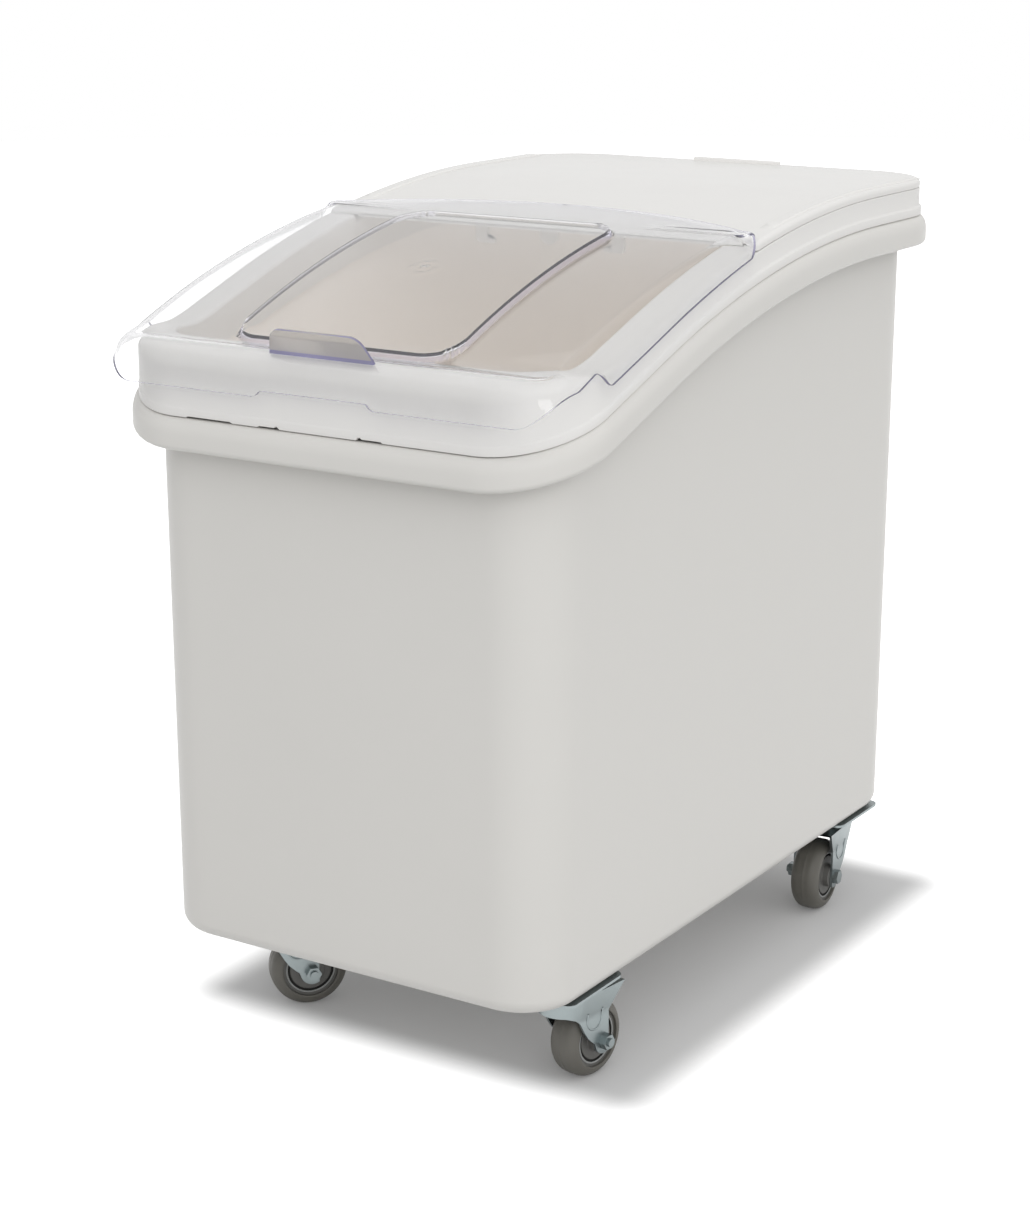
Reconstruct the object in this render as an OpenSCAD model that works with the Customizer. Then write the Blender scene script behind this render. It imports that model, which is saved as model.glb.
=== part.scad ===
// Rolling ingredient bin: a tub with a sloping rim on four swivel casters, a lid frame that clips over
// the rim, a rear deck and a clear front lid. Millimetres, floor at z = 0, front towards -Y.

/* [Tub] */
// Width outside the walls, just below the rim
tub_w = 430; // [400:1:470]
// Length outside the walls, just below the rim
tub_l = 714; // [660:1:760]
// Corner radius in plan
tub_corner_r = 59; // [50:1:70]
// Wall thickness
tub_wall = 4; // [3:0.5:5]
// Floor thickness
tub_floor = 5; // [4:0.5:7]
// Outside radius between wall and floor
tub_floor_r = 15; // [12:1:20]
// Draft of the walls in degrees
tub_draft = 0.25; // [0:0.05:0.5]

/* [Rim line] */
// Height of the flat rear stretch of the rim
rim_z = 727.2; // [660:1:780]
// Place behind the middle where the rim starts to fall
crest_y = 215; // [150:1:260]
// Radius of the falling stretch
fall_r = 1270; // [1100:10:1400]
// Angle of the straight slope at the front, in degrees
slope = 18.8; // [15:0.2:20]

/* [Rim] */
// Reach of the rolled rim beyond the wall
rim_reach = 27.3; // [25:0.1:32]
// Height of the rolled rim
rim_h = 29; // [24:1:36]
// Thickness of the rolled rim
rim_t = 3.5; // [3:0.5:4.5]

/* [Lid frame] */
// Reach of the frame's outer face beyond the tub's wall
frame_reach = 19.5; // [18:0.1:21]
// Thickness of the frame
frame_t = 3; // [2.5:0.1:3.5]
// Height of the frame above the rim beside the mouth
frame_side_h = 33; // [30:0.5:36]
// Height of the frame above the rim under the deck
frame_deck_h = 27.2; // [22:0.2:29]
// Reach of the frame's top inside the tub's wall line
mouth_lip = 15; // [12:1:20]
// Depth of the locating lip below the rim
lip_drop = 14; // [8:1:20]
// Projection of the bead along the frame's foot
bead_out = 2.3; // [1:0.1:3]
// Height of the bead
bead_h = 10; // [6:1:14]

/* [Rear deck] */
// Height of the deck's top above the rim
deck_rise = 35.3; // [34:0.1:36]
// Place of the deck's front edge
deck_front_y = -40; // [-60:1:-30]
// Thickness of the deck
deck_t = 3; // [2.5:0.1:3.5]
// Height of the side rails
rail_h = 1.5; // [1:0.1:2.5]
// Width of the side rails
rail_w = 13; // [8:1:16]
// Width of the rear stop
stop_w = 101; // [70:1:140]
// Height of the rear stop
stop_h = 3.4; // [2:0.2:6]
// Depth of the scoop hooks below the deck
hook_drop = 29; // [22:1:32]

/* [Clear lid] */
// Height of the lid's crown above the rim
lid_rise = 26.8; // [26.8:0.1:28.8]
// Height of the lid's front landing above the rim
lid_front_rise = 67.2; // [66.6:0.1:68]
// Thickness of the clear sheet
lid_t = 3; // [2.5:0.1:3.2]
// Radius of the lid's shoulders
lid_shoulder_r = 24; // [22:0.5:26]
// Corner radius of the lid's front in plan
lid_corner_r = 40; // [34:1:48]
// Depth of the front skirt
skirt_front_d = 39; // [30:1:44]
// Half width of the raised panel
panel_half_w = 115; // [90:1:130]
// Height of the raised panel
panel_h = 6; // [3:0.5:8]
// Width of the finger tab at its root
tab_w = 109; // [80:1:130]
// Height of the finger tab
tab_h = 25; // [18:1:30]
// Lean of the finger tab towards the front, in degrees
tab_lean = 26; // [10:1:32]

/* [Casters] */
// Overall height of a caster
caster_h = 100; // [96:1:108]
// Diameter of the wheel
wheel_d = 75; // [70:1:78]
// Width of the tread
wheel_w = 31; // [26:1:32]
// Distance of the wheel's axle from the kingpin
trail = 32; // [28:1:38]
// Distance of the right-hand kingpins from the middle
kingpin_right = 173; // [160:1:173]
// Distance of the left-hand kingpins from the middle
kingpin_left = 152; // [150:1:173]
// Distance of the front kingpins from the middle
kingpin_front = 258; // [240:1:270]
// Distance of the rear kingpins from the middle
kingpin_rear = 281; // [250:1:285]
// Length of the caster plate
plate_l = 92; // [88:1:104]
// Width of the caster plate
plate_w = 74; // [70:1:84]
// Thickness of the caster plate
plate_t = 2.5; // [2:0.1:3]
// Hole spacing along the caster plate
plate_hole_l = 60; // [56:1:64]
// Hole spacing across the caster plate
plate_hole_w = 32; // [30:1:36]
// Thickness of the fork's metal
fork_t = 2.5; // [2:0.1:3]
// Free width between the fork's legs
fork_gap = 39; // [38:0.2:42]

/* [Hidden] */
$fn = 64;
overrun = 1;

// Clearances
frame_seat = 0.4;
deck_seat = 0.4;
lid_seat = 0.4;
lid_side_gap = 1;
lid_front_gap = 1.5;
lip_gap = 1.5;
pin_gap = 0.05;
ball_gap = 0.22;
turn_gap = 0.5;
bolt_gap = 0.3;

// Steps of the swept outlines
corner_steps = 8;
front_steps = 8;
rear_steps = 7;
nick_steps = 3;
lid_steps = 6;
rear_turn_steps = 4;
rear_edge_steps = 5;
deck_corner_steps = 3;
hood_steps = 24;
leg_end_steps = 10;

// Outlines shared by the tub, the frame and the deck
half_w = tub_w / 2;
half_l = tub_l / 2;
corner_y = half_l - tub_corner_r;
seam = 2;
front_ys = [for (i = [1:front_steps]) -corner_y + (deck_front_y - seam / 2 + corner_y) * i / front_steps];
rear_ys = [for (i = [0:rear_steps]) let (y0 = deck_front_y + seam / 2) y0 + (crest_y - y0) * i / rear_steps];

// Station of an outline: centre x and y, outward direction, radius, then any further values
function corner(cx, cy, r, a0, a1, n) =
    [for (i = [0:n]) let (a = a0 + (a1 - a0) * i / n) [cx, cy, cos(a), sin(a), r]];
function side(x, r, ys) = [for (y = ys) [x - r, y, 1, 0, r]];
function tail(s, first) = [for (k = [first:len(s) - 1]) s[k]];
function mirrored(half) =
    [for (i = [len(half) - 1:-1:0]) let (s = half[i]) concat([-s[0], s[1], -s[2]], tail(s, 3))];
function whole(half) = concat(half, mirrored(half));
// Point of a station at an outward offset
function at(s, o) = [s[0] + s[2] * (s[4] + o), s[1] + s[3] * (s[4] + o)];
function mix(a, b, t) = a + (b - a) * t;
function smooth_max(a, b, k) = let (h = max(k - abs(a - b), 0) / k) max(a, b) + h * h * k / 4;

// Points of a section carried round a loop, and the triangles between neighbouring stations
function swept(loop, section) = [for (s = loop) for (p = section(s)) concat(at(s, p[0]), p[1])];
function walls(n, m, closed) =
    [for (i = [0:n - 1], k = [0:m - (closed ? 1 : 2)])
        let (b = ((i + 1) % n) * m, c = (k + 1) % m)
        each [[i * m + k, i * m + c, b + c], [i * m + k, b + c, b + k]]];
// Flat cap between mirrored stations of ring k, seen from below, or from above when turned
function cap(n, m, k, turned) =
    [for (i = [0:n / 2 - 2])
        let (a = i * m + k, b = (i + 1) * m + k, c = (n - 2 - i) * m + k, d = (n - 1 - i) * m + k)
        each (turned ? [[a, c, b], [a, d, c]] : [[a, b, c], [a, c, d]])];
// Solid through rings of points, each ring anticlockwise with x to the right and z up
module loft(rings) {
    n = len(rings);
    m = len(rings[0]);
    last = (n - 1) * m;
    polyhedron([for (r = rings) each r], concat(
        [for (i = [0:n - 2], k = [0:m - 1])
            let (a = i * m, c = (k + 1) % m)
            each [[a + k, a + c, a + m + c], [a + k, a + m + c, a + m + k]]],
        [for (k = [1:m - 2]) [0, k + 1, k]],
        [for (k = [1:m - 2]) [last, last + k, last + k + 1]]));
}

// Height of the rim along the length: flat, then an arc, then a straight slope to the front
function fall(y, r) =
    let (d = crest_y - y, e = r * sin(slope))
    d <= 0 ? 0 : d < e ? r - sqrt(r * r - d * d) : r * (1 - cos(slope)) + (d - e) * tan(slope);
function rim_top(y) = rim_z - fall(y, fall_r);
function deck_top(y) = rim_z + deck_rise - fall(y, fall_r + deck_rise);
// The frame's outer face sets the height of each section
function face_y(s) = at(s, frame_reach)[1];

// Tub
tub_half = concat(
    corner(half_w - tub_corner_r, -corner_y, tub_corner_r, -90, 0, corner_steps),
    side(half_w, tub_corner_r, concat(front_ys, rear_ys)),
    corner(half_w - tub_corner_r, corner_y, tub_corner_r, 0, 90, corner_steps));
tub_loop = whole(tub_half);
tub_z = caster_h;
floor_z = tub_z + tub_floor;
tub_floor_in_r = tub_floor_r - tub_wall;
rim_edge_r = 1.5;
rim_root_r = 3;
fillet_angles = [0, 22.5, 45, 67.5, 90];
// Rolled edge from the inside of its foot up to its top: shares of the reach and of the height
rim_edge_shares = [[0.80, 1], [0.93, 0.95], [1, 0.78], [1, 0.5],
    [0.985, 0.2], [0.95, 0.08], [0.85, 0.02], [0.7, 0]];

function wall_at(z) = -(rim_z - z) * tan(tub_draft);
function tub_section(s) =
    let (g = rim_top(face_y(s)))
    concat(
        [for (a = fillet_angles)
            [wall_at(tub_z) - tub_floor_r * (1 - sin(a)), tub_z + tub_floor_r * (1 - cos(a))]],
        [[wall_at(g), g - rim_t - rim_root_r], [rim_root_r, g - rim_t],
         [rim_reach - rim_t - rim_root_r, g - rim_t], [rim_reach - rim_t, g - rim_t - rim_root_r]],
        [for (p = rim_edge_shares) [rim_reach * p[0], g - rim_h * p[1]]],
        [[rim_edge_r - tub_wall, g], [-tub_wall, g - rim_edge_r]],
        [for (i = [len(fillet_angles) - 1:-1:0]) let (a = fillet_angles[i], r = tub_floor_in_r)
            [wall_at(floor_z) - tub_wall - r * (1 - sin(a)), floor_z + r * (1 - cos(a))]]);

module bin_tub() {
    n = len(tub_loop);
    m = len(tub_section(tub_loop[0]));
    color("whitesmoke") difference() {
        polyhedron(swept(tub_loop, function (s) tub_section(s)),
            concat(walls(n, m, false), cap(n, m, 0, false), cap(n, m, m - 1, true)));
        for (c = casters) at_kingpin(c) plate_holes(tub_z - overrun, tub_floor + 2 * overrun);
    }
}

// Lid frame
frame_front_r = lid_shoulder_r - lid_t;
frame_side_r = 6;
frame_deck_r = 1.5;
frame_inner_r = 3;
frame_blend = 8;
bead_share = 0.75;
round_angles = [0, 30, 60, 90];
inner_angles = [90, 45, 0];
lip_out = -tub_wall - lip_gap;
lip_in = lip_out - frame_t;

function under_deck(s) = s[1] > deck_front_y;
function toward_front(s) = max(0, -s[3]);
function frame_top(s) =
    let (g = rim_top(face_y(s)))
    under_deck(s) ? g + frame_deck_h : smooth_max(g + frame_side_h, frame_front_z, frame_blend);
function frame_round(s) =
    under_deck(s) ? frame_deck_r : mix(frame_side_r, frame_front_r, pow(toward_front(s), 2));
function frame_section(s) =
    let (g = rim_top(face_y(s)), t = frame_top(s), r = frame_round(s), q = max(r, frame_t + frame_deck_r),
         b = bead_out * (1 - toward_front(s)) + frame_deck_r * toward_front(s) / 2)
    concat(
        [[frame_reach + b, g + frame_seat], [frame_reach + b, g + bead_h * bead_share],
         [frame_reach, g + bead_h]],
        [for (a = round_angles) [frame_reach - r * (1 - cos(a)), t - r * (1 - sin(a))]],
        [[frame_inner_r - mouth_lip, t], [-mouth_lip, t - frame_inner_r],
         [lip_in, g - lip_drop], [lip_out, g - lip_drop], [frame_t - mouth_lip, t - frame_t]],
        [for (a = inner_angles)
            [frame_reach - q + (q - frame_t) * cos(a), t - q + (q - frame_t) * sin(a)]],
        [[frame_reach - frame_t, g + frame_seat]]);

module lid_frame() {
    n = len(tub_loop);
    m = len(frame_section(tub_loop[0]));
    color("white") polyhedron(swept(tub_loop, function (s) frame_section(s)), walls(n, m, true));
}

// Rear deck
deck_corner_r = 10;
deck_edge_r = 6;
deck_edge_share = 0.6;
deck_soft_share = 0.29;
deck_fillet = 2;
deck_foot = 0.3;
deck_lip_d = 1.5;
deck_lip_w = 2 * (half_w - mouth_lip - frame_inner_r);
rail_inset = 6.5;
rail_front_gap = 45;
rail_rear_gap = 46.5;
rail_bite = 1;
rail_bevel = 1.2;
rail_taper = 14;
rail_steps = 9;
stop_t = 4;
stop_inset = 5;
hook_setback = 35;
hook_x = 69;
hook_w = 13;
hook_foot = 9;
hook_t = 4;
tongue_r = 10;
tongue_drop = 26;

deck_half_w = half_w + frame_reach;
deck_rear_y = half_l + frame_reach;
deck_skirt_d = deck_rise - frame_deck_h - deck_seat;
deck_rear_r = tub_corner_r + frame_reach;
rail_y0 = deck_front_y + rail_front_gap;
rail_y1 = deck_rear_y - rail_rear_gap;
hook_y = deck_front_y + hook_setback;
// Stations carry the depth of the skirt as a sixth value
deck_front = corner(
    deck_half_w - deck_corner_r, deck_front_y + deck_corner_r, deck_corner_r, -90, 0, deck_corner_steps);
deck_half = concat(
    [for (s = deck_front) concat(s, mix(deck_t, deck_skirt_d, s[2]))],
    [for (s = concat(
        side(deck_half_w, deck_rear_r, tail(rear_ys, 1)),
        corner(deck_half_w - deck_rear_r, deck_rear_y - deck_rear_r, deck_rear_r, 0, 90, corner_steps)))
        concat(s, deck_skirt_d)]);
deck_loop = whole(deck_half);

function deck_section(s) =
    let (z = deck_top(at(s, 0)[1]), d = s[5], e = min(deck_edge_r, d * deck_edge_share))
    [[-deck_t - deck_fillet, z - deck_t], [-deck_t, z - deck_t - deck_soft_share * (d - deck_t)],
     [deck_foot - deck_t, z - d], [0, z - d], [0, z - e],
     [-e * deck_soft_share, z - e * deck_soft_share], [-e, z]];

module rail(x) {
    ys = [for (i = [0:rail_steps]) mix(rail_y0, rail_y1, i / rail_steps)];
    loft([for (y = ys)
        let (z = deck_top(y), e = min(1, min(y - rail_y0, rail_y1 - y) / rail_taper),
             h = z + rail_h * e, w = rail_bevel)
        [[x - rail_w / 2, y, z - rail_bite], [x + rail_w / 2, y, z - rail_bite],
         [x + rail_w / 2 - w, y, h], [x - rail_w / 2 + w, y, h]]]);
}

// Outline in the XZ plane given a thickness along Y, centred on a place
module plate_at(y, t) translate([0, y + t / 2, 0]) rotate([90, 0, 0]) linear_extrude(t) children();

module scoop_hooks() {
    z = deck_top(hook_y) - deck_t / 2;
    for (m = [0, 1]) mirror([m, 0, 0]) plate_at(hook_y, hook_t) polygon([
        [hook_x, z], [hook_x, z - hook_drop + hook_t], [hook_x - hook_foot, z - hook_drop + hook_t],
        [hook_x - hook_foot, z - hook_drop], [hook_x + hook_w, z - hook_drop], [hook_x + hook_w, z]]);
    plate_at(hook_y, hook_t) translate([0, z - tongue_drop + tongue_r]) {
        circle(tongue_r);
        translate([-tongue_r, 0]) square([2 * tongue_r, tongue_drop - tongue_r]);
    }
}

module rear_deck() {
    n = len(deck_loop);
    m = len(deck_section(deck_loop[0]));
    lip_z = deck_top(deck_front_y);
    color("white") union() {
        polyhedron(swept(deck_loop, function (s) deck_section(s)),
            concat(walls(n, m, false), cap(n, m, 0, false), cap(n, m, m - 1, true)));
        for (x = [-1, 1]) rail(x * (deck_half_w - rail_inset - rail_w / 2));
        translate([-stop_w / 2, deck_rear_y - stop_inset - stop_t, rim_z + deck_rise - rail_bite])
            cube([stop_w, stop_t, stop_h + rail_bite]);
        translate([-deck_lip_w / 2, deck_front_y, lip_z - deck_t - deck_lip_d])
            cube([deck_lip_w, deck_t, deck_lip_d + deck_t / 2]);
        scoop_hooks();
    }
}

// Clear lid
lid_half_w = deck_half_w + lid_side_gap + lid_t;
lid_front_y = -(half_l + frame_reach + lid_front_gap + lid_t);
lid_crest_back = 135;
lid_blend = 6;
lid_landing = 33;
lid_lap = 65;
lid_side_short = 10;
skirt_nick_d = 15;
skirt_nick_l = 66;
skirt_nick_step = 20;
notch_half_w = 54;
notch_step = 8;
notch_h = 5.4;
skirt_lap = 6;
skirt_flare_share = 0.08;
arc_share = 0.8;
lid_rear_corner_r = 20;
lid_rear_r = 3.4;
lid_arc_shares = [0, 0.2, 0.4, 0.6, 0.8, 1];
middle_share = 0.5;

// The long arc runs from the crown down to the landing behind the front edge
lid_crest_y = crest_y - lid_crest_back;
lid_crest_z = rim_z + lid_rise;
lid_front_z = rim_top(-half_l - frame_reach) + lid_front_rise;
frame_front_z = lid_front_z - lid_t - lid_seat;
lid_drop = lid_crest_z - lid_front_z;
lid_arc_r = (pow(lid_crest_y - lid_front_y - lid_landing, 2) + pow(lid_drop, 2)) / (2 * lid_drop);
skirt_nick_y = lid_front_y + skirt_nick_l;
lid_side_end_y = deck_front_y - lid_side_short;
lid_rear_y = deck_front_y + lid_lap;

function lid_top(y) =
    let (arc = sqrt(pow(lid_arc_r, 2) - pow(y - lid_crest_y, 2)))
    smooth_max(lid_crest_z - lid_arc_r + arc, lid_front_z, lid_blend);
// Depth of the side skirt: a shallow nick behind the front corner, then down over the frame's edge
function side_skirt(y) =
    let (t = max(0, min(1, (y - skirt_nick_y) / skirt_nick_step)))
    mix(skirt_nick_d, lid_top(y) - rim_top(y) - frame_side_h + skirt_lap, t);

lid_corner_y = lid_front_y + lid_corner_r;
panel_setback = 30;
panel_rear_gap = 24;
panel_corner = 30;
panel_wall = 4;
panel_room = 20;
panel_end_shares = [0, 0.4, 0.7, 0.9, 0.99];
panel_front_y = lid_front_y + panel_setback;
panel_rear_y = deck_front_y - panel_rear_gap;
lid_side_ys = concat(
    [for (i = [1:nick_steps]) mix(lid_corner_y, skirt_nick_y, i / nick_steps)],
    [for (i = [0:lid_steps - 1])
        mix(skirt_nick_y + skirt_nick_step, panel_rear_y - panel_corner, i / lid_steps)],
    [for (u = panel_end_shares) panel_rear_y - panel_corner * (1 - u)],
    [panel_rear_y + panel_wall, lid_side_end_y]);
lid_rear_x = lid_half_w - lid_rear_corner_r;
lid_rear_bow = lid_rear_y - lid_side_end_y - lid_rear_corner_r;
// Stations carry the shoulder's radius and the depth of the skirt
lid_half = concat(
    [for (s = corner(lid_half_w - lid_corner_r, lid_corner_y, lid_corner_r, -90, 0, corner_steps))
        concat(s, [lid_shoulder_r, mix(skirt_nick_d, skirt_front_d, pow(-s[3], 3))])],
    [for (s = side(lid_half_w, lid_corner_r, lid_side_ys)) concat(s, [lid_shoulder_r, side_skirt(s[1])])],
    [for (i = [1:rear_turn_steps]) let (a = 90 * i / rear_turn_steps, e = max(0, 1 - a / 45))
        [lid_rear_x, lid_side_end_y, cos(a), sin(a), lid_rear_corner_r,
         mix(lid_rear_r, lid_shoulder_r, e), mix(lid_rear_r, side_skirt(lid_side_end_y), e)]],
    [for (i = [1:rear_edge_steps]) let (x = lid_rear_x * (1 - i / (rear_edge_steps + middle_share)))
        [x, lid_rear_y - lid_rear_bow * pow(x / lid_rear_x, 2), 0, 1, 0, lid_rear_r, lid_rear_r]]);
// Front edge from left to right, with a notch under the finger tab
front_marks = [[panel_half_w, 0], [notch_half_w + notch_step, 0], [notch_half_w, notch_h]];
lid_front = [for (m = [-1, 1], i = [0:2]) let (f = front_marks[m < 0 ? i : 2 - i])
    [m * f[0], lid_corner_y, 0, -1, lid_corner_r, lid_shoulder_r, skirt_front_d - f[1]]];
lid_loop = concat(whole(lid_half), lid_front);

function lid_section(s) =
    let (r = s[5], d = s[6], z = lid_top(at(s, -r)[1]) - r, end = acos(1 - min(1, arc_share * d / r)),
         q = r - lid_t, f = skirt_flare_share * (d - lid_rear_r))
    concat(
        [for (u = lid_arc_shares) [-r + q * sin(u * end), z + q * cos(u * end)]],
        [[-r + q * sin(end) + f, z + r - d], [-r + r * sin(end) + f, z + r - d]],
        [for (i = [len(lid_arc_shares) - 1:-1:0]) let (a = lid_arc_shares[i] * end)
            [-r + r * sin(a), z + r * cos(a)]]);

// Raised panel: its half width and height along the lid
function panel_reach(y) =
    let (e = max(0, panel_corner - min(y - panel_front_y, panel_rear_y - y)) / panel_corner)
    panel_half_w - panel_corner * (1 - sqrt(max(0, 1 - e * e)));
function panel_rise(y) = y > panel_front_y && y < panel_rear_y ? panel_h : 0;
// Points of a row across the lid, from right to left between its two rim points
function panel_row(y, w, drop) =
    let (p = min(panel_reach(max(panel_front_y, min(panel_rear_y, y))), w - panel_room),
         h = panel_rise(y), z = lid_top(y) - drop)
    [for (m = [1, -1]) each
        let (half = [[p + panel_wall / 2, 0], [p - panel_wall / 2, h], [p * middle_share, h]])
        m > 0 ? [for (c = half) [c[0], y, z + c[1]]]
              : [for (i = [2:-1:0]) [-half[i][0], y, z + half[i][1]]]];

// Cap of rows across the lid: ring k of the swept wall and the rows' own points, which start at first
function row_cap(m, k, first, turned) =
    let (h = len(lid_half), cols = len(lid_front), left = 2 * h - 1,
         row = function (i) concat(
             i * m + k,
             i == 0 ? [for (j = [cols:-1:1]) (left + j) * m + k]
             : i > h - 3 ? []
             : [for (j = [0:cols - 1]) first + (i - 1) * cols + j],
             (left - i) * m + k),
         tris = [for (i = [0:h - 2]) each between(row(i), row(i + 1))])
    turned ? [for (t = tris) [t[0], t[2], t[1]]] : tris;
// Triangles between two rows of points, where a long row may close down to a row of two points
function between(a, b) =
    len(a) == len(b) ? [for (j = [0:len(a) - 2]) each [[a[j], b[j], b[j + 1]], [a[j], b[j + 1], a[j + 1]]]]
    : let (mid = floor(len(a) / 2))
        concat([for (j = [0:len(a) - 2]) [a[j], j < mid ? b[0] : b[1], a[j + 1]]], [[a[mid], b[0], b[1]]]);

tab_t = 3.2;
tab_top_w = 91;
tab_corner_r = 9;
tab_setback = 15;
tab_steps = 6;
module finger_tab() {
    y = lid_front_y + tab_setback;
    z = lid_top(y) - lid_t;
    c = [tab_top_w / 2 - tab_corner_r, tab_h - tab_corner_r];
    top = [for (i = [0:tab_steps]) let (a = 90 * i / tab_steps) c + tab_corner_r * [cos(a), sin(a)]];
    half = concat([[tab_w / 2, 0]], top);
    translate([0, y, z]) rotate([90 + tab_lean, 0, 0]) linear_extrude(tab_t)
        polygon(concat(half, [for (i = [len(half) - 1:-1:0]) [-half[i][0], half[i][1]]]));
}

module clear_lid() {
    n = len(lid_loop);
    m = len(lid_section(lid_loop[0]));
    rows = [for (i = [1:len(lid_half) - 3]) lid_half[i]];
    under = [for (s = rows) each panel_row(at(s, -s[5])[1], at(s, -s[5])[0], lid_t)];
    over = [for (s = rows) each panel_row(at(s, -s[5])[1], at(s, -s[5])[0], 0)];
    color("lightblue", 0.4) union() {
        polyhedron(concat(swept(lid_loop, function (s) lid_section(s)), under, over),
            concat(walls(n, m, false), row_cap(m, 0, n * m, false),
                row_cap(m, m - 1, n * m + len(under), true)));
        finger_tab();
    }
}

// Casters: name, side, end and the way the wheel trails in degrees
casters = [["fl", -1, -1, 50], ["fr", 1, -1, 82], ["rl", -1, 1, -118], ["rr", 1, 1, -86]];
caster_parts = ["top_plate", "kingpin", "swivel_balls", "fork", "axle_bolt", "axle_nut", "axle_sleeve",
    "wheel_core", "wheel_tread", "plate_bolts", "plate_nuts"];
plate_z = caster_h - plate_t;
plate_corner_r = 9;
kingpin_r = 6;
kingpin_head_r = 10;
kingpin_head_h = 3.4;
ball_d = 6.35;
ball_ring_r = 19;
ball_count = 16;
shroud_r = 25;
shroud_t = 2;
shroud_h = 4.8;
axle_z = wheel_d / 2;
axle_r = 4;
sleeve_r = 6.5;
hex_af = 13;
hex_h = 5.5;
nut_h = 6.5;
axle_tail = 2.5;
core_r = 27;
core_w = 25;
hub_r = 12;
hub_w = fork_gap - 2 * turn_gap;
groove_r = 22;
groove_w = 3;
groove_d = 3;
tread_edge_r = 11;
stud_r = 3;
stud_head_r = 5;
stud_head_h = 3.5;
stud_nut_af = 10;
stud_nut_h = 4.6;
stud_tail = 1.4;
ball_z = plate_z - ball_gap - ball_d / 2;
crown_top = ball_z - ball_d / 2 - ball_gap;
crown_z = crown_top - fork_t;

module at_kingpin(c) translate([
    c[1] > 0 ? kingpin_right : -kingpin_left, c[2] > 0 ? kingpin_rear : -kingpin_front, 0]) children();
module trailing(c) at_kingpin(c) rotate([0, 0, c[3]]) children();
module on_axle(c) trailing(c) translate([trail, 0, axle_z]) rotate([90, 0, 0]) children();
module at_plate_holes() for (x = [-1, 1], y = [-1, 1])
    translate([x * plate_hole_w / 2, y * plate_hole_l / 2, 0]) children();
module plate_holes(z, h) at_plate_holes() translate([0, 0, z]) cylinder(h = h, r = stud_r + bolt_gap);
module hexagon(af, h) cylinder(h = h, d = af / cos(30), $fn = 6);

module top_plate(c) color("silver") at_kingpin(c) difference() {
    translate([0, 0, plate_z]) linear_extrude(plate_t) difference() {
        square([plate_w, plate_l], center = true);
        for (x = [-1, 1], y = [-1, 1]) translate([x * plate_w / 2, y * plate_l / 2]) difference() {
            square(2 * plate_corner_r, center = true);
            translate([-x * plate_corner_r, -y * plate_corner_r]) circle(plate_corner_r);
        }
    }
    plate_holes(plate_z - overrun, plate_t + 2 * overrun);
    translate([0, 0, plate_z - overrun]) cylinder(h = plate_t + 2 * overrun, r = kingpin_r + pin_gap);
}

module kingpin(c) color("silver") at_kingpin(c) translate([0, 0, crown_z - turn_gap - kingpin_head_h]) {
    cylinder(h = kingpin_head_h, r = kingpin_head_r);
    cylinder(h = caster_h - crown_z + turn_gap + kingpin_head_h, r = kingpin_r);
}

module swivel_balls(c) color("gainsboro") trailing(c) for (i = [0:ball_count - 1])
    rotate([0, 0, 360 * i / ball_count]) translate([ball_ring_r, 0, ball_z]) sphere(d = ball_d);

// Fork: a hood that flares up to the crown round the kingpin, drawn down into two flat legs
hood_top_r = 26.5;
hood_top_l = 56;
hood_h = 24.7;
hood_front_h = 17;
hood_room = 12;
leg_lap = 2;
leg_end_r = 12;
leg_rear_out = 6.4;
leg_rear = trail + leg_rear_out;
leg_low_z = axle_z - leg_end_r;
hood_z = crown_top - hood_h;
fork_half = fork_gap / 2 + fork_t;
// Front edge of a leg from its round end up to the hood: shares of the way forwards and of the way up
leg_front_shares = [[0.08, 0.1], [0.18, 0.25], [0.26, 0.43], [0.32, 0.6],
    [0.38, 0.76], [0.47, 0.88], [0.6, 0.97], [1, 1]];
rib_r = 11;
rib_w = 1.6;
rib_h = 0.8;
rib_setback = 14;
rib_rise = 26;
rib_l = 8;

function hood_ring(r, l, z) = concat(
    [for (i = [0:hood_steps]) let (a = 90 + 180 * i / hood_steps) [r * cos(a), r * sin(a), z]],
    [[l, -r, z], [l, r, z]]);

module hood() difference() {
    loft([hood_ring(hood_top_r, hood_top_l, crown_top), hood_ring(fork_half, leg_rear, hood_z)]);
    loft([hood_ring(hood_top_r - fork_t, hood_top_l + overrun, crown_z),
          hood_ring(fork_gap / 2, hood_top_l + overrun, hood_z),
          hood_ring(fork_gap / 2, hood_top_l + overrun, hood_z - overrun)]);
}

// Outline of the fork, seen along the axle
module fork_outline() {
    end_a = acos((leg_rear - trail) / leg_end_r);
    front_x = -hood_top_r - hood_room;
    rear_x = hood_top_l + hood_room;
    top_z = crown_top + overrun;
    step_z = hood_z + 2 * leg_lap;
    polygon(concat(
        [[rear_x, top_z], [rear_x, step_z], [leg_rear, step_z]],
        [for (i = [0:leg_end_steps]) let (a = mix(end_a, -180, i / leg_end_steps))
            [trail + leg_end_r * cos(a), axle_z + leg_end_r * sin(a)]],
        [for (p = leg_front_shares)
            [mix(trail - leg_end_r, front_x, p[0]), mix(axle_z, crown_top - hood_front_h, p[1])]],
        [[front_x, top_z]]));
}

// Pressed rib on a leg, open at the top
module rib_outline(r, l) translate([trail - rib_setback, axle_z + rib_rise]) {
    circle(r);
    translate([-r, 0]) square([2 * r, l]);
}

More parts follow.
